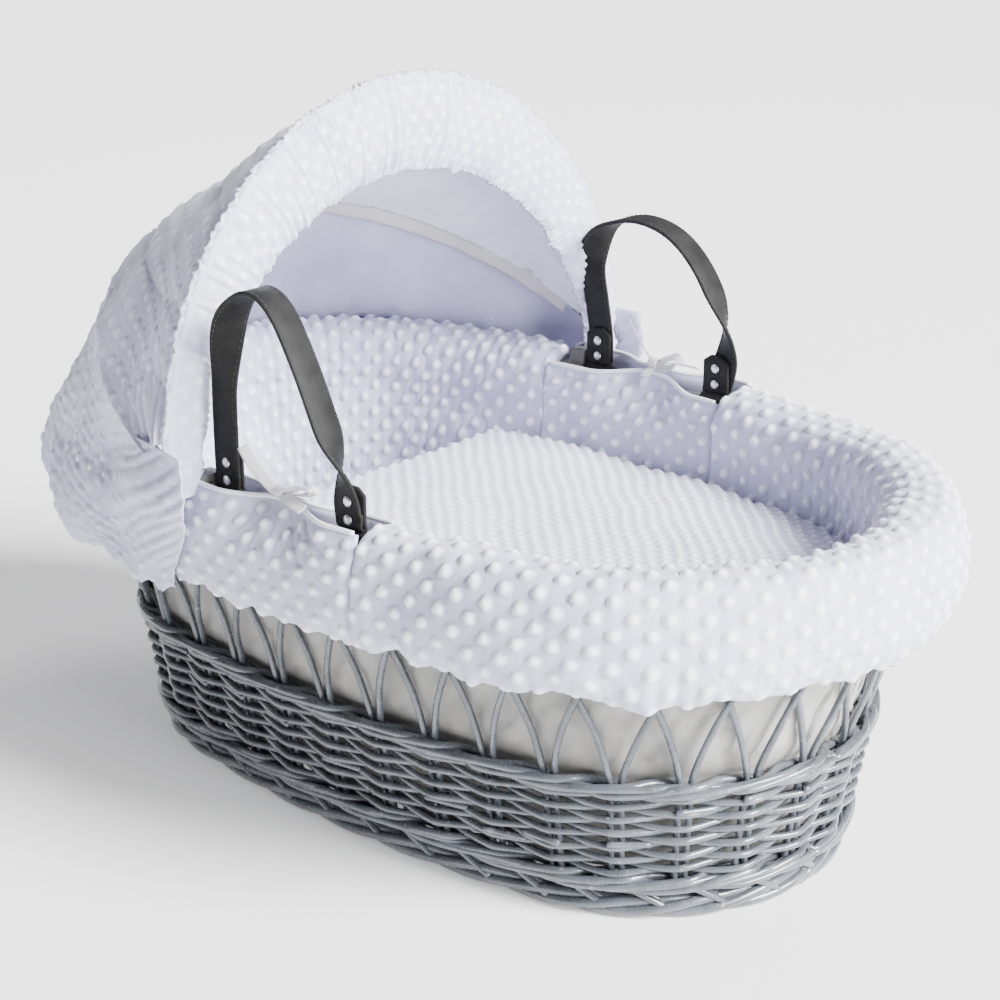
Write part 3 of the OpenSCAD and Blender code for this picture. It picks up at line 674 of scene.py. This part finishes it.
def bedding():
    def sheet(x, y):
        return 0.5 * ripple(x, y, 90, 31) + 0.7 * creases(x, y, 150, 32), 0 * x

    mattress = pillow("mattress_sheeted", 38.3, 71.6, 14, -17.9, None, COTTON, sheet, 5.0, 3.0)
    finish_piece(mattress, "basket", "white_cotton", "mattress_cover")

    def quilt(x, y):
        soft = 0.7 * ripple(x, y, 120, 33) + 0.8 * creases(x, y, 170, 34, 0.3, 0.9)
        return soft, dimples(x, y, 15.0, 2.5, 3.4, 35)
    cover = pillow("coverlet_quilted", 191, 228, 17, 8.6, SHIFT - 150, PLUSH, quilt, 1.8, 8.0)
    finish_piece(cover, "basket", "white_dimple_cloth", "coverlet")


# ---- Padded surround ----
WRAP_FACE = [(-19, 73.4), (10, 225), (11.5, 258), (17, 279), (30, 290.5), (47, 293), (62, 288.5), (72.5, 272),
             (77, 246), (75.5, 219), (69, HEM_Z)]
WRAP_BACK = [(-11.4, 73.4), (-5.5, 112), (-2.5, 126), (21.5, 225), (28, 262), (33, 276), (45, 281), (57, 276),
             (59.5, 262), (60, 225), (64, HEM_Z + 0.6)]


def profile_pair(face, back):
    """Smooth face and back profiles of equal count."""
    face, _ = spline(face, step=2.3)
    return face, spline(back, count=len(face))[0]


def soft_ends(face, back, t, fade=5.0):
    """Blends both profiles into their common middle at the two ends of a run, for a rounded end."""
    share = np.clip(1 - np.minimum(t - t[0], t[-1] - t) / fade, 0, 1)[:, None, None] ** 2 * 0.5
    middle = (face + back) / 2
    return face * (1 - share) + middle * share, back * (1 - share) + middle * share


def padded_run(node, face, back, t, relief):
    """Padded shell along a run. face and back hold a profile per place along the run, with equal counts."""
    face, back = soft_ends(face, back, t)
    grid = place(t[:, None], face[..., 0], face[..., 1])
    along = np.cumsum(np.r_[0, np.linalg.norm(np.diff(face[len(t) // 2], axis=0), axis=1)])
    dots, folds = relief(t[:, None] + 0 * along, along[None] + 0 * t[:, None], along[-1])
    near_end = np.minimum(t - t[0], t[-1] - t)[:, None]
    grid = grid + normals(grid) * ((dots + folds) * ease(near_end, 0, 6))[..., None]
    coarse = np.ix_(thinned(len(t), 4), thinned(face.shape[1], 4))
    rear = place(t[:, None], back[..., 0], back[..., 1])[coarse]
    made = shell(f"{node}_padding", grid, rear, PLUSH)
    mark_dot_highlight(made, dots)
    finish_piece(made, "basket", "white_dimple_cloth", node)


def plush_relief(seed, gathers):
    """Relief of the padded wrap: dots, soft wander, and gathers by place."""
    def relief(t, v, length):
        wander = ripple(t, v, 130, seed + 2) + 0.5 * ripple(t, v, 45, seed + 3)
        hem = ease(v, length - HEM_DEPTH, length)
        pucker = hem * 1.8 * creases(t, v, 26, seed + 4, 0.0, 0.35)
        dots = dimples(cloth_run(t, PADDED_OUT), v, DOT_PITCH, 3.3, 4.9, seed)
        return dots * (1 - 0.35 * hem), wander + pucker + gathers(t, v)
    return relief


def foot_gathers(t, v):
    """The inner face bunches round the foot end."""
    bend = ease(-np.abs(np.mod(t + WHOLE / 2, WHOLE) - WHOLE / 2), -250, -120)
    inner = 1 - ease(v, 190, 250)
    return bend * inner * 1.8 * creases(t, v * 0.35, 17, 61, 0.0, 0.3)


def head_gathers(t, v):
    return 1.6 * creases(t, v * 0.4, 24, 62, 0.0, 0.3)


def hem_wave(grid_t, seed):
    return 1.7 * ripple(grid_t, 0 * grid_t, 31, seed) + 2.2 * ripple(grid_t, 0 * grid_t, 95, seed + 1)


def hemmed(profiles, t, seed, drop=1.0, sway=0.6):
    """Profiles for each place along a run, with a hem that wanders up and down, and in and out."""
    copies = np.array(np.broadcast_to(profiles, (len(t), *profiles.shape[-2:])))
    low = (1 - ease(copies[..., 1], HEM_Z, HEM_Z + 45)) * (copies[..., 0] > 50)
    copies[..., 1] += drop * hem_wave(t, seed)[:, None] * low
    copies[..., 0] += sway * hem_wave(t, seed + 5)[:, None] * low
    return copies


def bumpers():
    face, back = profile_pair(WRAP_FACE, WRAP_BACK)
    foot_end, head_end = run_at(1, SLOT_FORE + SEAM), run_at(1, -SLOT_AFT - SEAM)
    for word, first, last, count, seed, relief in (
            ("foot", -foot_end, foot_end, 400, 51, plush_relief(41, foot_gathers)),
            ("head", head_end, WHOLE - head_end, 380, 53, plush_relief(45, head_gathers))):
        t = np.linspace(first, last, count)
        padded_run(f"bumper_{word}", hemmed(face, t, seed), hemmed(back, t, seed), t, relief)


PAD_FACE = [(-19, 73.4), (10, 225), (10.5, 255), (14, 274), (20, 285)]
PAD_BACK = [(-11.4, 73.4), (-5.5, 112), (21.5, 225), (25, 255), (22, 284)]
FLAP_FACE = [(65, 291), (70.5, 284), (75.5, 268), (77, 246), (75.5, 219), (69, HEM_Z)]
FLAP_BACK = [(63, 290), (63, 280), (62.5, 262), (61.5, 246), (60.8, 225), (64, HEM_Z + 0.6)]


def closing(profile, t, middle, inward, lift):
    """Copies of a pad profile per place, with a top edge that leans over the rim between the strap's legs."""
    copies = np.repeat(profile[None], len(t), 0)
    tied = ease(56 - np.abs(t - middle), 0, 46)
    knot = np.exp(-((t - middle) / 20) ** 2)
    top = ease(profile[:, 1], 250, 288)
    copies[..., 0] += inward * tied[:, None] * top
    copies[..., 1] += (lift * tied + 2.5 * knot)[:, None] * top
    return copies


def slot_side(side, word):
    """Inner pad, outer flap and the bound edges of the handle slot on one side."""
    ends = sorted((run_at(side, -SLOT_AFT), run_at(side, SLOT_FORE)))
    t = np.linspace(ends[0] - 2.5, ends[1] + 2.5, 100)
    middle, seed = run_at(side, 0), 70 + 10 * side

    def relief(tt, v, length, is_flap):
        dots = dimples(cloth_run(tt, PADDED_OUT), v + 150 * is_flap, DOT_PITCH, 3.1, 4.8, seed)
        soft = 1.1 * ripple(tt, v, 70, seed + 2) + creases(tt, v, 60, seed + 3, 0.9, 0.6)
        if not is_flap:
            rim = 1 - ease(v, length - 12, length)
            return dots * rim, soft * rim
        rim = ease(v, 0, 12)
        # folds fan out from the knot
        fan = np.arctan2(tt - middle, v + 12)
        soft = soft + 2.0 * np.exp(-v / 42) * creases(fan * 40, 0 * v, 15, seed + 6, 0, 0.1)
        hem = 1.4 * ease(v, length - HEM_DEPTH, length) * creases(tt, v, 26, seed + 4, 0, 0.35)
        return dots * rim, soft * rim + hem

    for part, outline, lining, inward, lift in (("side_pad", PAD_FACE, PAD_BACK, 17.0, 3.0),
                                                ("side_flap", FLAP_FACE, FLAP_BACK, -17.0, -1.0)):
        faces, backs = (hemmed(closing(profile, t, middle, inward, lift), t, seed, 0.6, 0.0)
                        for profile in profile_pair(outline, lining))
        is_flap = part == "side_flap"
        padded_run(f"{part}_{word}", faces, backs, t, partial(relief, is_flap=is_flap))
        top = faces[:, 0 if is_flap else -1]
        binding = Rods()
        binding.add(place(t, top[:, 0], top[:, 1] + 0.4)[2:-2], 1.9)
        finish_piece(binding.build(f"{part}_{word}_binding", COTTON), "basket", "white_cotton")


# ---- Ribbon bows ----
def across_line(line, wide):
    """Unit direction at right angles to a line, nearest to the one given, and the line's own direction."""
    along = unit(np.gradient(line, axis=0))
    wide = np.asarray(wide, float)
    return unit(wide - along * np.sum(wide * along, -1, keepdims=True)), along


def strip(line, wide, width):
    """Grid of a flat strip along a line."""
    return line[:, None] + across_line(line, wide)[0][:, None] * np.linspace(-0.5, 0.5, 5)[:, None] * width


def ribbon(side, word):
    """Bow over the slot: a loop, two tails, the tie over the flap and a knot."""
    y_rim = side * (SIDE_R - SIDE_DROP + RIM_OUT)
    knot = np.array([SHIFT - 4, y_rim, 295.5])
    loop = [knot, knot + (10, side * 3, 6), knot + (21, side * 1, 10), knot + (26, side * -3, 7),
            knot + (20, side * -5, 2), knot + (9, side * -3, 0), knot]
    tails = [[knot, knot + (-10, side * 3, 5), knot + (-24, side * 6, 17), knot + (-35, side * 7, 31)],
             [knot, knot + (8, side * 6, 1.5), knot + (22, side * 12, 1), knot + (36, side * 15, 0)]]
    tie = [knot + (2, side * -18, -6), knot + (1, side * -10, -3), knot + (0, 0, -1.4)]
    turn = np.linspace(0, 2 * pi, 25)
    wrap = knot + points(0, 5.2 * np.cos(turn), 4.2 * np.sin(turn) + 1)
    pieces = [strip(spline(loop, count=40)[0], (0, side, 0.5), 11)]
    pieces += [strip(spline(tail, count=30)[0], (0.6, -0.8 * side, 0.5), 9) for tail in tails]
    pieces += [strip(spline(tie, count=20)[0], (1, 0, 0), 9), strip(wrap, (1, 0, 0), 9)]
    verts, quads, tris = np.empty((0, 3)), [], []
    for flat in pieces:
        more, faces, sides = shell_parts(flat, flat - normals(flat) * 0.6, len(verts))
        verts = np.vstack([verts, more])
        quads.append(faces)
        tris += sides
    obj = new_mesh(f"ribbon_bow_{word}", verts, np.vstack(quads), tris, RIBBON)
    finish_piece(obj, "basket", "ribbon", f"ribbon_tie_{word}")


# ---- Hood ----
def hoop_point(radius, lean, a):
    """Point of a hoop's plane at an angle from the far pivot, for values that broadcast together."""
    rise = radius * np.sin(a)
    return PIVOT + points(-rise * np.sin(lean), radius * np.cos(a), rise * np.cos(lean))


def blended(obj, slot, a, b, weight, *nodes):
    """Bakes the cloth's placement into its mesh and hides the CAD nodes it stands for. slot, a, b and weight
    are not used.
    """
    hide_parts(*nodes)
    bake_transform(obj)


def between_hoops(obj):
    """Share of each vertex, from 0 at the rear hoop to 1 at the front hoop, by its lean about the pivots."""
    co = np.array([v.co for v in obj.data.vertices]) / MM - PIVOT
    lean = np.arctan2(-co[:, 0], np.maximum(co[:, 2], 1e-3))
    return 1 - (lean - FRONT_LEAN) / (REAR_LEAN - FRONT_LEAN)


def roof():
    """Plush from the front hoop to the rear hoop, puckered at both seams."""
    aa, ss = grid_of(radians(6), radians(174), 330, 0, 1, 106)
    lean = FRONT_LEAN + (REAR_LEAN - FRONT_LEAN) * ss
    front, rear = hoop_point(FRONT_R + 4.5, FRONT_LEAN, aa), hoop_point(REAR_R + 5, REAR_LEAN, aa)
    chord = front * (1 - ss[..., None]) + rear * ss[..., None]
    on_arc = hoop_point(FRONT_R + 4.5 + (REAR_R - FRONT_R) * ss, lean, aa)
    grid = chord * 0.96 + on_arc * 0.04
    high = np.sin(aa)
    u, v = aa * 262, ss * 262 * high + (1 - high) * 40 * ss
    dots = dimples(u, v, 25, 1.6, 4.8, 81) * ease(high, 0.1, 0.35)
    near_seam = np.exp(-ss / 0.10) + 0.8 * np.exp(-(1 - ss) / 0.08)
    puckers = 2.6 * near_seam * creases(u, v, 13, 82, 0.0, 0.25)
    drape = 3.2 * creases(u, v, 150, 83, 0.8, 0.4) + 1.8 * ripple(u, v, 110, 84)
    low_folds = 3.4 * (1 - ease(high, 0.12, 0.6)) * creases(u * 0.4, v, 26, 85, 1.57, 0.3)
    hold = ease(ss, 0, 0.05) * ease(1 - ss, 0, 0.05)
    swell = 8.0 * np.exp(-(1 - ss) / 0.3) * (1 - ease(high, 0.4, 0.85))
    relief = dots + puckers * (1 - 0.8 * swell / 8) + (drape + low_folds) * hold + swell
    obj = cloth_shell("hood_roof_cloth", grid + unit(grid - PIVOT) * relief[..., None], 1.4, PLUSH)
    mark_dot_highlight(obj, dots, HOOD_DOT_HIGHLIGHT)
    blended(obj, "white_dimple_cloth", "hood_rear", "hood_front", between_hoops(obj), "hood_roof")


def lining():
    """Plain inner cloth, sagging a little between the hoops."""
    aa, ss = grid_of(radians(7), radians(173), 240, 0.03, 0.955, 50)
    front, rear = hoop_point(FRONT_R - 4.5, FRONT_LEAN, aa), hoop_point(REAR_R - 4.5, REAR_LEAN, aa)
    grid = front * (1 - ss[..., None]) + rear * ss[..., None]
    u, v = aa * 250, ss * 250
    sag = 12 * np.sin(pi * ss) * np.sin(aa)
    gathers = 3.2 * creases(u, v * 0.5, 36, 92, 0.0, 0.35) * (0.5 + 0.5 * np.exp(-ss / 0.2))
    relief = (1.4 * ripple(u, v, 90, 91) + gathers) * ease(ss, 0, 0.1) * ease(1 - ss, 0, 0.1)
    grid = grid + unit(PIVOT * (1, 0, 1) - grid) * (sag - relief)[..., None]
    obj = cloth_shell("hood_lining_cloth", grid[::-1], 0.9, COTTON)
    blended(obj, "white_cotton", "hood_rear", "hood_front", between_hoops(obj), "hood_lining")


def frill_reach(a):
    """Radius of the frill's inner edge at an angle round the hoop."""
    return -45 * np.sin(a) + np.sqrt(231.0 ** 2 - (45 * np.cos(a)) ** 2)


def frill():
    """Gathered band in front of the front hoop, pleated at both edges and flatter at its ends."""
    aa, ww = grid_of(radians(-4), radians(184), 460, 0, 1, 44)
    outer, inner = FRONT_R + 3.2, frill_reach(aa)
    u = aa * 250
    ruffle = (5.0 + 1.6 * creases(u, 0 * u, 15, 104, 0, 0.2)) * np.exp(-ww / 0.05)
    grid = hoop_point(outer + (inner - outer) * ww + ruffle, FRONT_LEAN, aa)
    forward = np.array([cos(FRONT_LEAN), 0, sin(FRONT_LEAN)])
    ends = np.exp(-ww / 0.16) + np.exp(-(1 - ww) / 0.22)
    raised = ease(np.sin(aa), 0.1, 0.55)
    pleats = creases(u, ww * 14, 16, 101, 0.0, 0.3) * (0.6 + 1.0 * ends) * 3.4 * (0.45 + 0.55 * raised)
    dots = dimples(u * 1.06, ww * (outer - inner), 21, 2.2, 4.2, 102)
    dots = dots * (1 - 0.6 * np.clip(ends, 0, 1)) * (0.3 + 0.7 * raised)
    puff = 11 * np.sin(pi * np.clip(ww * 0.94 + 0.06, 0, 1)) ** 0.7
    front = grid + forward * (puff + pleats + dots - 1)[..., None]
    hem = ease(ww, 0.85, 1)
    front = front + unit(PIVOT - front) * (hem * 1.2 * ripple(u, 0 * u, 28, 103))[..., None]
    back_a, back_w = aa[::3, ::3], ww[::3, ::3]
    back_radius = outer - 1 + (frill_reach(back_a) - outer + 1) * back_w
    back = hoop_point(back_radius, FRONT_LEAN, back_a) - forward * 1.5
    back[[0, -1]] += forward
    obj = shell("hood_frill_cloth", front, back, PLUSH)
    mark_dot_highlight(obj, dots)
    finish_piece(obj, "hood_front", "white_dimple_cloth", "hood_frill")


def casing(name, radius, lean, thick, body, start, seed):
    """Gathered tube of cloth round a hoop."""
    a = np.linspace(radians(start), radians(180 - start), 420)
    u = a * 250
    size = thick + 0.5 * creases(u, 0 * a, 9, 110 + seed, 0, 0.2) + 0.3 * ripple(u, 0 * a, 25, 111 + seed)
    rods = Rods(12)
    rods.add(hoop_point(radius, lean, a), size, (cos(lean), 0, sin(lean)))
    finish_piece(rods.build(name, PLUSH), body, "white_dimple_cloth")


def tape():
    """Flat tape over the rear hoop's casing, on the inside."""
    aa, ww = grid_of(radians(10), radians(170), 200, -1, 1, 9)
    sideways = np.array([cos(REAR_LEAN), 0, sin(REAR_LEAN)])
    radius = REAR_R - 6.6 + 1.6 * ww ** 2 + 0.4 * ripple(aa * 250, ww, 30, 120)
    grid = hoop_point(radius, REAR_LEAN, aa) + sideways * (9 * ww)[..., None]
    obj = cloth_shell("hoop_tape_cloth", grid, 0.8, TAPE, coarse=1)
    finish_piece(obj, "hood_rear", "cream_cotton", "hoop_tape")


def back_panel():
    """Cloth from the rear hoop down over the head end to its gathered hem, drawn in at the pivots."""
    nu, nv, corner = 380, 96, 0.085
    q = np.linspace(0, 1, nu)
    edge = np.minimum(q, 1 - q)
    arc = np.clip((q - corner) / (1 - 2 * corner), 0, 1)
    top = hoop_point(REAR_R + 5, REAR_LEAN, radians(10) + radians(160) * arc)
    share = np.clip(1 - edge / corner, 0, 1)[:, None]
    front = hoop_point(FRONT_R + 11, FRONT_LEAN, np.radians(np.where(q < 0.5, 5, 175))) + (27, 0, -3)
    top = top * (1 - share) + front * share
    run = END_RUN + SIDE_RUN * 0.52
    t = 2 * QUARTER - run + 2 * run * q
    slant = (2 * q - 1) * ease(1 - edge, 0.86, 1.0)
    swell = np.sin(pi * arc) ** 2
    fronts = ease(1 - edge, 0.87, 0.97)
    # heights with their offset out and how far the front edges reach forward
    levels = [(284 + 12 * swell, 70 + 8 * swell + 29 * fronts, 41), (262, 79 + 12 * swell + 12 * fronts, 30),
              (238, 81 + 22 * swell + 3 * fronts, 16), (219, 80 + 19 * swell, 4), (206, 78 + 4 * swell, 0),
              (201.5, 76, 0)]
    control = np.stack([top] + [place(t + forward * slant, out, z) for z, out, forward in levels], 1)
    grid = np.stack([spline(drop, count=nv)[0] for drop in control])
    qq, ww = np.meshgrid(edge, np.linspace(0, 1, nv), indexing="ij")
    u, v = cloth_run(t, 70)[:, None] + 0 * ww, ww * 190
    edge_run = qq * 750
    from_seam = (qq - 0.19 + 0.10 * np.sin(ww * pi / 2) ** 1.2) * 750
    side_cloth = 1 - ease(from_seam, -4, 4)
    at_corner = np.exp(-(edge_run / 62) ** 2) * (1 - ease(ww, 0.35, 1.0))
    held = ease(ww, 0, 0.06)
    hem = ease(ww, 0.86, 1.0)
    dots = dimples(u, v, DOT_PITCH, 1.6, 4.8, 131)
    net = 1.2 * (1 - side_cloth) * creases(u, v, 19, 137, 1.57, 0.35) * ease(ww, 0.1, 0.5)
    gathers = 2.4 * creases(u, v * 0.45, 23, 132, 0.0, 0.3) * (0.35 + 0.65 * ease(ww, 0.35, 0.9))
    drape = 2.4 * side_cloth * creases(u, v, 95, 138, 0.5, 0.3) + 1.8 * ripple(u, v, 90, 135)
    corner_folds = 6.0 * (creases(edge_run * 0.83 - v * 0.55, 0 * v, 21, 134, 0.0, 0.15) + 0.5)
    corner_folds = corner_folds * at_corner * (0.2 + 0.8 * ease(edge_run, 0, 16))
    relief = ((dots + net) * (1 - at_corner) + gathers * (1 - 0.7 * side_cloth) + drape + corner_folds) * held
    seam_line = 2.2 * np.exp(-(from_seam / 2.2) ** 2) - 1.6 * np.exp(-((from_seam - 4.5) / 2.5) ** 2)
    pucker = 1.6 * hem * creases(u, v, 11, 133, 0.0, 0.25)
    low_join = ease(1 - qq, 0.72, 0.86) * (1 - 0.6 * fronts[:, None]) * np.exp(-ww / 0.14)
    relief = relief + pucker + seam_line * ease(ww, 0, 0.02) + 8.0 * low_join
    out_dir = normals(grid)
    out_dir = out_dir * np.sign(np.mean(np.sum(out_dir * (grid - PIVOT), -1)))
    grid = grid + out_dir * relief[..., None]
    grid[:, :, 2] += hem * hem_wave(u, 136)
    obj = cloth_shell("hood_back_cloth", grid, 1.4, PLUSH)
    mark_dot_highlight(obj, dots, HOOD_DOT_HIGHLIGHT)
    up = 1 - ww
    weight = np.concatenate([up.ravel(), up[np.ix_(thinned(nu, 3), thinned(nv, 3))].ravel()])
    blended(obj, "white_dimple_cloth", "basket", "hood_rear", (weight - 0.15) / 0.85,
            "hood_back_panel", "hood_elastic")


# ---- Handles ----
STRAP_W, LAYER, LOOP_R, TAB_TOP = 26, 1.7, 14.4, 53
LEGS, RIVET_HEIGHTS = (-64, 64), (24, 38)


def sweep_strap(line, wide, thickness):
    """Sections of a flat strap with rounded edges, along a line."""
    wide, along = across_line(line, wide)
    thin = np.cross(along, wide)
    edge = thickness * 0.35
    turn = np.linspace(-pi / 2, pi / 2, 5)
    right = np.stack([STRAP_W / 2 - edge + edge * np.cos(turn), thickness / 2 * np.sin(turn)], -1)
    section = np.vstack([right, -right])
    return line[:, None] + wide[:, None] * section[:, :1] + thin[:, None] * section[:, 1:]


def ring_quads(n, m, count):
    """Faces of a sweep of n closed sections of m points, with capped ends."""
    seam = np.arange(n - 1) * m
    quads = [grid_quads(n, m, count), np.stack([seam + m - 1, seam + 2 * m - 1, seam + m, seam], -1) + count]
    for row, sense in ((0, 1), (n - 1, -1)):
        base = count + row * m
        left, right = base + np.arange(m // 2), base + np.arange(m - 1, m // 2 - 1, -1)
        quads.append(np.stack([left[:-1], left[1:], right[1:], right[:-1]], -1)[:, ::sense])
    return quads


def turned_end(leg, y_rim, side):
    """Sections of a strap's end: down its outer layer, round the rim, then up to the pointed tab."""
    x = SHIFT + leg
    turn = np.linspace(-1.5 * pi, pi / 2, 60)[4:-4]
    start = points(x, y_rim + side * LAYER, RIM_Z + np.linspace(30, 17, 8))
    loop = points(x, y_rim + side * LOOP_R * np.cos(turn), RIM_Z + LOOP_R * np.sin(turn))
    tab = points(x, y_rim - side * (LAYER + 0.05), RIM_Z + np.linspace(17, 52, 24))
    line, _ = spline(np.vstack([start, loop, tab])[::3], count=110)
    rings = sweep_strap(line, (1, 0, 0), 3.0)
    point = np.clip((TAB_TOP - (line[:, 2] - RIM_Z)) / 9, 0.04, 1)
    point[:71] = 1
    rings[..., 0] = line[:, None, 0] + (rings[..., 0] - line[:, None, 0]) * point[:, None]
    return rings


def handle(side, word, knots, turned_over):
    """Strap, its stitching, its turned ends and its rivets. knots are (x, height) above the rim, and
    turned_over gives the shares of the run where the strap turns flat over the arch and back again."""
    low, high = node_box(f"rivets_{word}")
    y_rim = (low[1] + high[1]) / 2
    flat, run = spline(knots, count=150)
    share = run / run[-1]
    line = points(SHIFT + flat[:, 0], y_rim + side * LAYER, RIM_Z + flat[:, 1])
    in_plane = unit(np.cross(unit(np.gradient(line, axis=0)), (0, 1, 0)))
    up, down = turned_over
    turned = ease(share, *up) * (1 - ease(share, *down)) * pi / 2
    wide = in_plane * np.cos(turned)[:, None] - np.array([0, 1.0, 0]) * np.sin(turned)[:, None]
    verts, quads, count = [], [], 0
    for rings in (sweep_strap(line, wide, 3.2), *(turned_end(leg, y_rim, side) for leg in LEGS)):
        verts.append(rings.reshape(-1, 3))
        quads += ring_quads(*rings.shape[:2], count)
        count += len(verts[-1])
    obj = new_mesh(f"strap_{word}_leather", np.vstack(verts), np.vstack(quads), [], STRAP)
    finish_piece(obj, f"handle_{word}", "faux_leather", f"strap_{word}")
    stitches = Rods(5)
    wide_true, along = across_line(line, wide)
    thin = np.cross(along, wide_true)
    for edge in (-1, 1):
        for face in (-1, 1):
            seam_line = line + unit(wide) * edge * 10.6 + thin * face * 1.62
            fine, _ = spline(seam_line[::3], step=1.0)
            for k in range(8, len(fine) - 10, 5):
                stitch_run = fine[k:k + 4]
                stitches.add(stitch_run, 0.42, unit(np.cross(stitch_run[-1] - stitch_run[0], (0.3, 1, 0.2))))
    finish_piece(stitches.build(f"strap_{word}_stitching", STITCH), f"handle_{word}", "faux_leather")
    finish_piece(rivet_heads(word, y_rim), f"handle_{word}", "nickel", f"rivets_{word}")


def rivet_heads(word, y_rim):
    """Domed heads on both faces, with the shank between them."""
    half = [(0.0, 5.0), (2.6, 4.85), (3.9, 4.2), (4.2, 3.55), (2.0, 3.4)]
    r, y = np.array([(r, -y) for r, y in half] + half[::-1]).T
    turn = np.linspace(0, 2 * pi, 24, endpoint=False)[:, None]
    verts, quads = [], []
    for leg in LEGS:
        for z in RIVET_HEIGHTS:
            grid = points(SHIFT + leg + r * np.cos(turn), y_rim + y, RIM_Z + z + r * np.sin(turn))
            quads.append(grid_quads(*grid.shape[:2], len(verts) * turn.size * r.size, wrap=True))
            verts.append(grid.reshape(-1, 3))
    return new_mesh(f"rivet_heads_{word}", np.vstack(verts), np.vstack(quads), [], NICKEL)


# ---- Everything ----
weave_rows()
wales()
foot_border()
stakes_and_arches()
rim_border()
base_weave()
liner()
bedding()
bumpers()
slot_side(-1, "near")
slot_side(1, "far")
ribbon(-1, "near")
ribbon(1, "far")
roof()
lining()
frill()
casing("front_casing", FRONT_R + 0.5, FRONT_LEAN, 4.4, "hood_front", start=3, seed=1)
casing("rear_casing", REAR_R + 1.0, REAR_LEAN, 4.6, "hood_rear", start=9, seed=2)
tape()
back_panel()
NEAR_STRAP = [(-64, 20), (-65, 60), (-64, 105), (-56, 148), (-38, 172), (-19, 177), (0, 165), (20, 134),
              (40, 94), (57, 56), (64, 20)]
FAR_STRAP = [(-64, 20), (-64.5, 44), (-70, 76), (-76, 108), (-60, 139), (-25, 152), (12, 146), (42, 123),
             (66, 84), (72, 52), (64, 20)]
handle(-1, "near", NEAR_STRAP, ((0.20, 0.48), (0.80, 0.97)))
handle(1, "far", FAR_STRAP, ((0.16, 0.42), (0.74, 0.97)))

for node_name, used in (("base_cross_sticks", HIDDEN), ("base_long_sticks", HIDDEN), ("mattress_core", FOAM),
                        ("hood_clips", PLASTIC), ("hood_pivot_pins", NICKEL), ("rear_hoop", WIRE),
                        ("front_hoop", WIRE)):
    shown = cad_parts[node_name]
    shown.data.materials.clear()
    shown.data.materials.append(used)


# ---- Floor, light and camera ----
def studio():
    """Pale floor, soft lights and the photograph's camera."""
    floor_mesh = bpy.data.meshes.new("floor")
    reach = 14.0
    corners = [(-reach, -reach, 0), (reach, -reach, 0), (reach, reach, 0), (-reach, reach, 0)]
    floor_mesh.from_pydata(corners, [], [(0, 1, 2, 3)])
    floor = bpy.data.objects.new("floor", floor_mesh)
    bpy.context.scene.collection.objects.link(floor)
    paper = Look("floor_paper", (0.90, 0.90, 0.905), 0.75, Emission_Strength=0.35,
                 Emission_Color=(1, 1, 1, 1))
    floor_mesh.materials.append(paper.bump((paper.noise(300.0, 2.0), 0.0003, 0.1)))
    world = bpy.data.worlds.new("studio")
    world.use_nodes = True
    sky = world.node_tree.nodes["Background"].inputs
    sky["Color"].default_value, sky["Strength"].default_value = (0.93, 0.94, 1.0, 1), 0.34
    bpy.context.scene.world = world
    for name, kind, spot_at, power, settings in (
            ("key", "SUN", (2.3, 0.55, 1.75), 15.5, {"angle": radians(26)}),
            ("front", "AREA", (2.6, -0.3, 0.75), 80.0, {"shape": "DISK", "size": 1.2}),
            ("back", "AREA", (-0.2, 2.0, 2.6), 40.0, {"shape": "DISK", "size": 1.2})):
        light = bpy.data.lights.new(name, kind)
        light.energy = power
        for key, value in settings.items():
            setattr(light, key, value)
        obj = bpy.data.objects.new(name, light)
        obj.location = spot_at
        obj.rotation_euler = (Vector((0, 0, 0.2)) - Vector(spot_at)).to_track_quat("-Z", "Y").to_euler()
        bpy.context.scene.collection.objects.link(obj)
    camera = bpy.data.objects.new("camera", bpy.data.cameras.new("camera"))
    eye, aim = Vector((1.23455, -1.3566, 0.8957)), Vector((0.18635, -0.1781, 0.3215))
    camera.location = eye
    camera.rotation_euler = (aim - eye).to_track_quat("-Z", "Y").to_euler()
    camera.data.lens = 86.7
    bpy.context.scene.collection.objects.link(camera)
    bpy.context.scene.camera = camera


studio()
bpy.context.view_layer.update()
